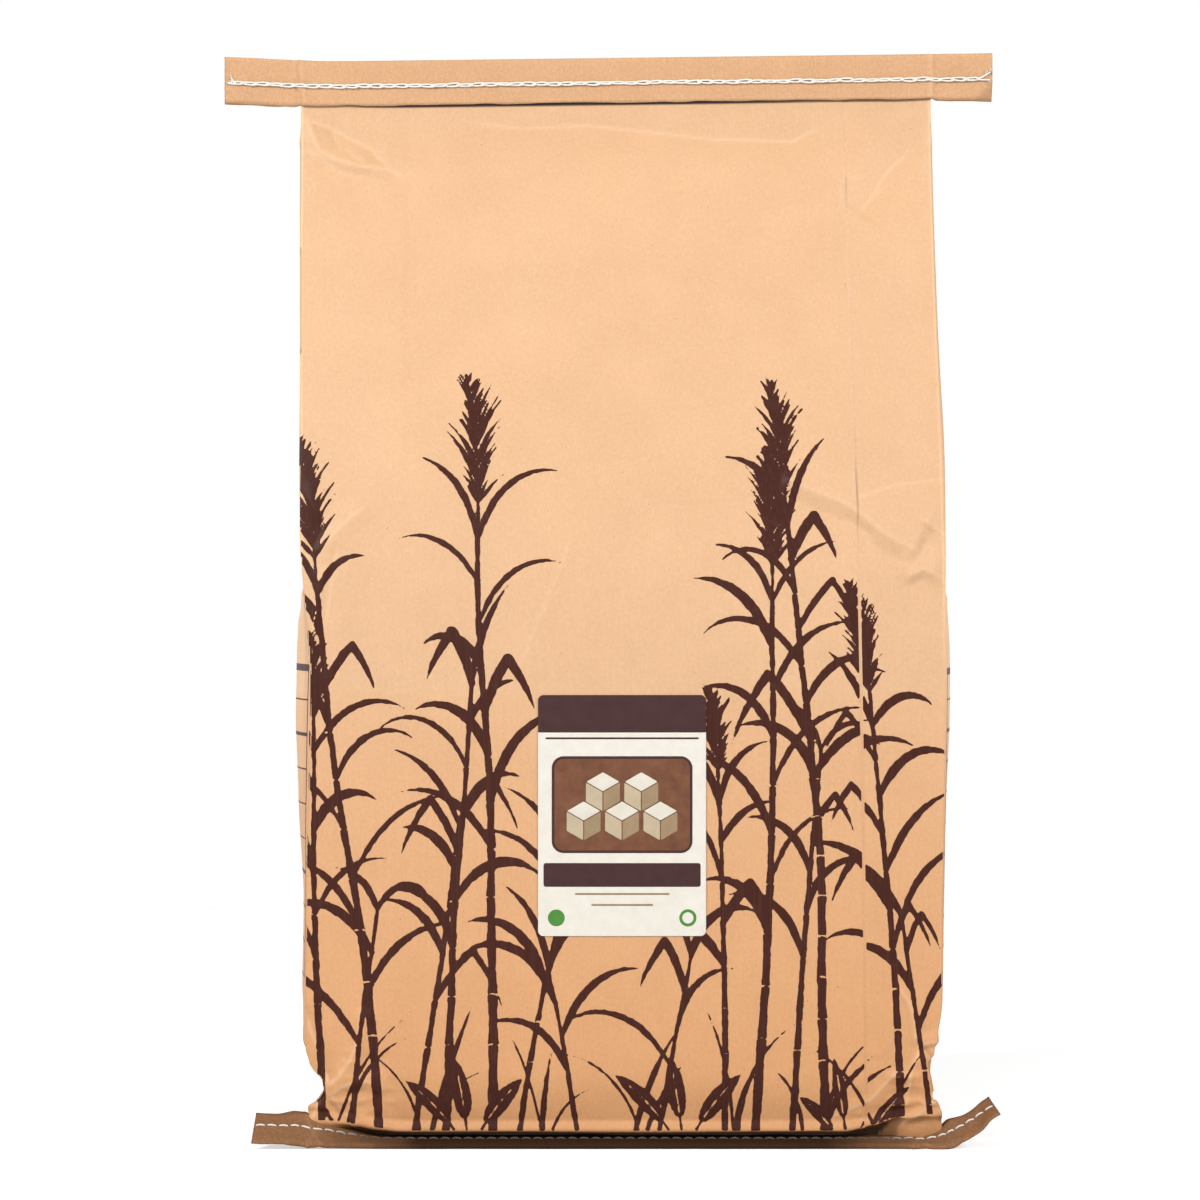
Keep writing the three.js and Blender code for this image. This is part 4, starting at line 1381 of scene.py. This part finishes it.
def chain_loop(verts, faces, at, base, pitch, rng):
    """One of the interlinked loops that a bag closer's looper leaves."""
    reach = pitch + 1.9 + rng.uniform(-0.4, 0.4)
    wide = 0.92 * rng.uniform(0.7, 1.15)
    shift = rng.uniform(-0.22, 0.22)
    tilt = rng.uniform(-0.5, 0.5)
    path, radii = [], []
    for a in 2 * math.pi * np.arange(LOOP_STEPS) / LOOP_STEPS:
        along = 0.5 - 0.5 * math.cos(a)
        spread = wide * math.sin(a) * (0.55 + 0.6 * along)
        over = 0.45 * max(0.0, along - 0.72) / 0.28 + (0.12 if spread > 0 else 0.0)
        w = STITCH_INSET + shift + spread + tilt * (along - 0.5)
        path.append(at(base - 0.6 + reach * along, w, STRAND * 0.85 + over))
        radii.append(STRAND * rng.uniform(0.9, 1.08))
    tube(verts, faces, path, radii, closed=True)


def running_stitch(verts, faces, at, base, pitch, rng):
    """A stitch that dips into the tape at each needle hole."""
    slant = rng.uniform(0.10, 0.34)
    path, radii = [], []
    for t in np.linspace(0, 1, STITCH_STEPS):
        arch = math.sin(math.pi * t) ** 0.5
        w = STITCH_INSET + slant * (0.5 - t) * 2
        path.append(at(base + pitch * (0.08 + 0.84 * t), w, 0.92 * arch - 0.5))
        radii.append(0.30 + 0.24 * arch)
    tube(verts, faces, path, radii, sides=8)


def sewn_thread(name, stitch, tape, side, start, end, pitch, seed, material, node):
    """A row of whole stitches between two places along a tape."""
    rng = np.random.RandomState(seed)
    verts, faces = [], []
    count = round((end - start) / pitch)
    pitch = (end - start) / count
    for i in range(count):
        stitch(verts, faces, over_tape(tape, side, end), start + i * pitch, pitch, rng)
    piece = new_piece(name, verts, faces, material, "thread")
    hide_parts(node)


def thread_tail(name, tape, start, direction, length, fans, seed, material):
    """The chain's cut end: strands that part, each towards its own place across the tape, and fray."""
    rng = np.random.RandomState(seed)
    verts, faces = [], []
    at = over_tape(tape, 1)
    for k, fan in enumerate(fans):
        path = [at(start + direction * length * t, STITCH_INSET + fan * t ** 1.3 + 0.3 * math.sin(3 * t + k),
                   STRAND + 0.5 * t * t) for t in np.linspace(0, 1, 9)]
        tube(verts, faces, path, STRAND * np.linspace(1.1, 0.8, 9))
    for k in range(16):
        fan = fans[k % len(fans)] + rng.uniform(-0.7, 0.7)
        t0 = rng.uniform(0.55, 1.0)
        path = [at(start + direction * (length * t0 + t),
                   STITCH_INSET + fan * (t0 + 0.5 * t) + 0.3 * math.sin(5 * t + k), STRAND + 0.6 * t)
                for t in np.linspace(0, 1, 6)]
        tube(verts, faces, path, [0.1] * 6, sides=4)
    new_piece(name, verts, faces, material, "thread")


def make_tapes_and_thread():
    upper = tape_material("crepe_tape_upper", TAPE_TOP, TAPE_TOP_DEEP, KRAFT_PALE, 0.15)
    lower = tape_material("crepe_tape_lower_painted_shade", TAPE_LOW_PAINTED_SHADE, TAPE_LOW_PAINTED_SHADE_DEEP, TAPE_LOW_PAINTED_SHADE_PALE, 0.05, PAINTED_SHADE_BROWN)
    cotton = thread_material("cotton_thread")
    painted_shade_cotton = thread_material("cotton_thread_painted_shade", COTTON_PAINTED_SHADE)
    left, right = MOUTH_LEFT - TOP_EAR_LEFT, MOUTH_RIGHT + TOP_EAR_RIGHT
    top = (top_place, lambda x: tape_half_at(x, MOUTH_SHIFT), top_bend)
    low = (seam_place, lambda s: tape_half_at(s, 0.0), low_bend)
    folded_tape("top_tape_paper", top, left, right, upper, "top_tape", 61, top_raw_extra, top_crease_highlight)
    folded_tape("bottom_tape_paper", low, SEAM_START, SEAM_END, lower, "bottom_tape", 67, low_raw_extra,
                low_crease_wear_and_highlight)
    sewn_thread("top_chain", chain_loop, top, 1, left + 2.6, right - 8.4, CHAIN_PITCH, 71, cotton,
                "top_chain_thread")
    sewn_thread("top_running_stitch", running_stitch, top, -1, left + 1, right - 1, CHAIN_PITCH, 73, cotton,
                "top_needle_thread")
    sewn_thread("bottom_running_stitch", running_stitch, low, 1, SEAM_START + 0.4, SEAM_END - 0.2,
                LOWER_PITCH, 79, painted_shade_cotton, "bottom_needle_thread")
    sewn_thread("bottom_chain", chain_loop, low, -1, SEAM_START + 1, SEAM_END - 1, LOWER_PITCH, 83,
                painted_shade_cotton, "bottom_chain_thread")
    thread_tail("top_tail_left", top, left + 6.5, -1, 2.6, (-2.6, -0.6), 89, cotton)
    thread_tail("top_tail_right", top, right - 9.0, 1, 7.6, (-3.6, 1.2), 97, cotton)


def make_print(drape):
    ink = ink_material()
    front = cane_field(FRONT_CANES, 101, FRONT_TUFTS, FRONT_CLUMPS)
    cut_at_seam(front)
    cut_at_crease(front)
    back = cane_field(BACK_CANES, 131, BACK_TUFTS, BACK_CLUMPS)

    def on_panel(p, outward):
        return outward * p.y / MM > float(profile(EDGE_DEPTH, p.z / MM)) / 2 - PRINT_MARGIN

    prints = [
        ("front_print", front, FROM_FRONT, lambda p: on_panel(p, -1)),
        ("back_print", back, (0, -1, 0), lambda p: p.z > 0.002 and on_panel(p, 1)),
        ("left_table", table_outline(-52, 50, 92, 264), (1, 0, 0), None),
        ("right_table", table_outline(-50, 52, 108, 262), (-1, 0, 0), None),
    ]
    for name, drawing, look, keep in prints:
        drape.lay(name, drawing, look, INK_RISE, ink, "kraft_paper", keep)


# Floor, light and camera, in metres
CAMERA_DISTANCE = 2.2
CAMERA_X = -0.0129
CAMERA_HEIGHT = 0.300
FRAME_WIDTH = 0.678
CEILING = 0.3
FLOOR_GLOW = 0.51
FLOOR_REACH = 1.6
LIGHTS_AIM = (0, 0, 0.34)


def make_floor():
    mesh = bpy.data.meshes.new("floor")
    corners = [(-1, -1), (1, -1), (1, 1), (-1, 1)]
    mesh.from_pydata([(FLOOR_REACH * x, FLOOR_REACH * y, 0) for x, y in corners], [], [(0, 1, 2, 3)])
    floor = bpy.data.objects.new("floor", mesh)
    bpy.context.scene.collection.objects.link(floor)
    n = Nodes("pale_floor")
    feed(n.shader.inputs["Emission Color"], (1, 1, 1))
    feed(n.shader.inputs["Emission Strength"], FLOOR_GLOW)
    mesh.materials.append(n.finish((0.5, 0.5, 0.5), 0.95, 0.05))
    floor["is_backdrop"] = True


def area_light(name, place, size, power):
    data = bpy.data.lights.new(name, "AREA")
    data.shape = "RECTANGLE"
    data.size = data.size_y = size
    data.energy = power
    light = bpy.data.objects.new(name, data)
    light.location = place
    light.rotation_euler = (Vector(LIGHTS_AIM) - Vector(place)).to_track_quat("-Z", "Y").to_euler()
    bpy.context.scene.collection.objects.link(light)


def dim_ceiling(tree):
    """White all round the horizon and dimmer overhead."""
    up = add_node(tree, "SeparateXYZ", "Z", {"Vector": add_node(tree, "TexCoord", "Generated", {})})
    fade = add_node(tree, "MapRange", "Result", {"Value": up, "From Min": 0.35, "From Max": 0.80,
                                                 "To Min": 1.0, "To Max": CEILING})
    back = tree.nodes["Background"]
    feed(back.inputs["Color"], (1, 1, 1))
    feed(back.inputs["Strength"], fade)


def make_view():
    scene = bpy.context.scene
    data = bpy.data.cameras.new("camera")
    data.sensor_fit = "HORIZONTAL"
    data.angle = 2 * math.atan(FRAME_WIDTH / 2 / CAMERA_DISTANCE)
    camera = bpy.data.objects.new("camera", data)
    camera.location = (CAMERA_X, -CAMERA_DISTANCE, CAMERA_HEIGHT)
    camera.rotation_euler = (math.pi / 2, 0, 0)
    scene.collection.objects.link(camera)
    scene.camera = camera
    world = bpy.data.worlds.new("studio")
    world.use_nodes = True
    dim_ceiling(world.node_tree)
    scene.world = world
    scene.view_settings.view_transform = "Standard"
    area_light("left_box", (-2.0, -1.75, 2.0), 0.6, 103)
    area_light("right_box", (2.1, -1.65, 1.9), 0.6, 81)
    area_light("front_box", (-0.2, -2.6, 0.9), 0.8, 12)


make_view()
make_floor()
drape = Drape(make_skin(kraft_material()))
make_print(drape)
make_label(drape)
make_tapes_and_thread()

shown_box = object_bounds()
repr([[list(map(float, corner)) for corner in box] for box in (cad_box, shown_box)])
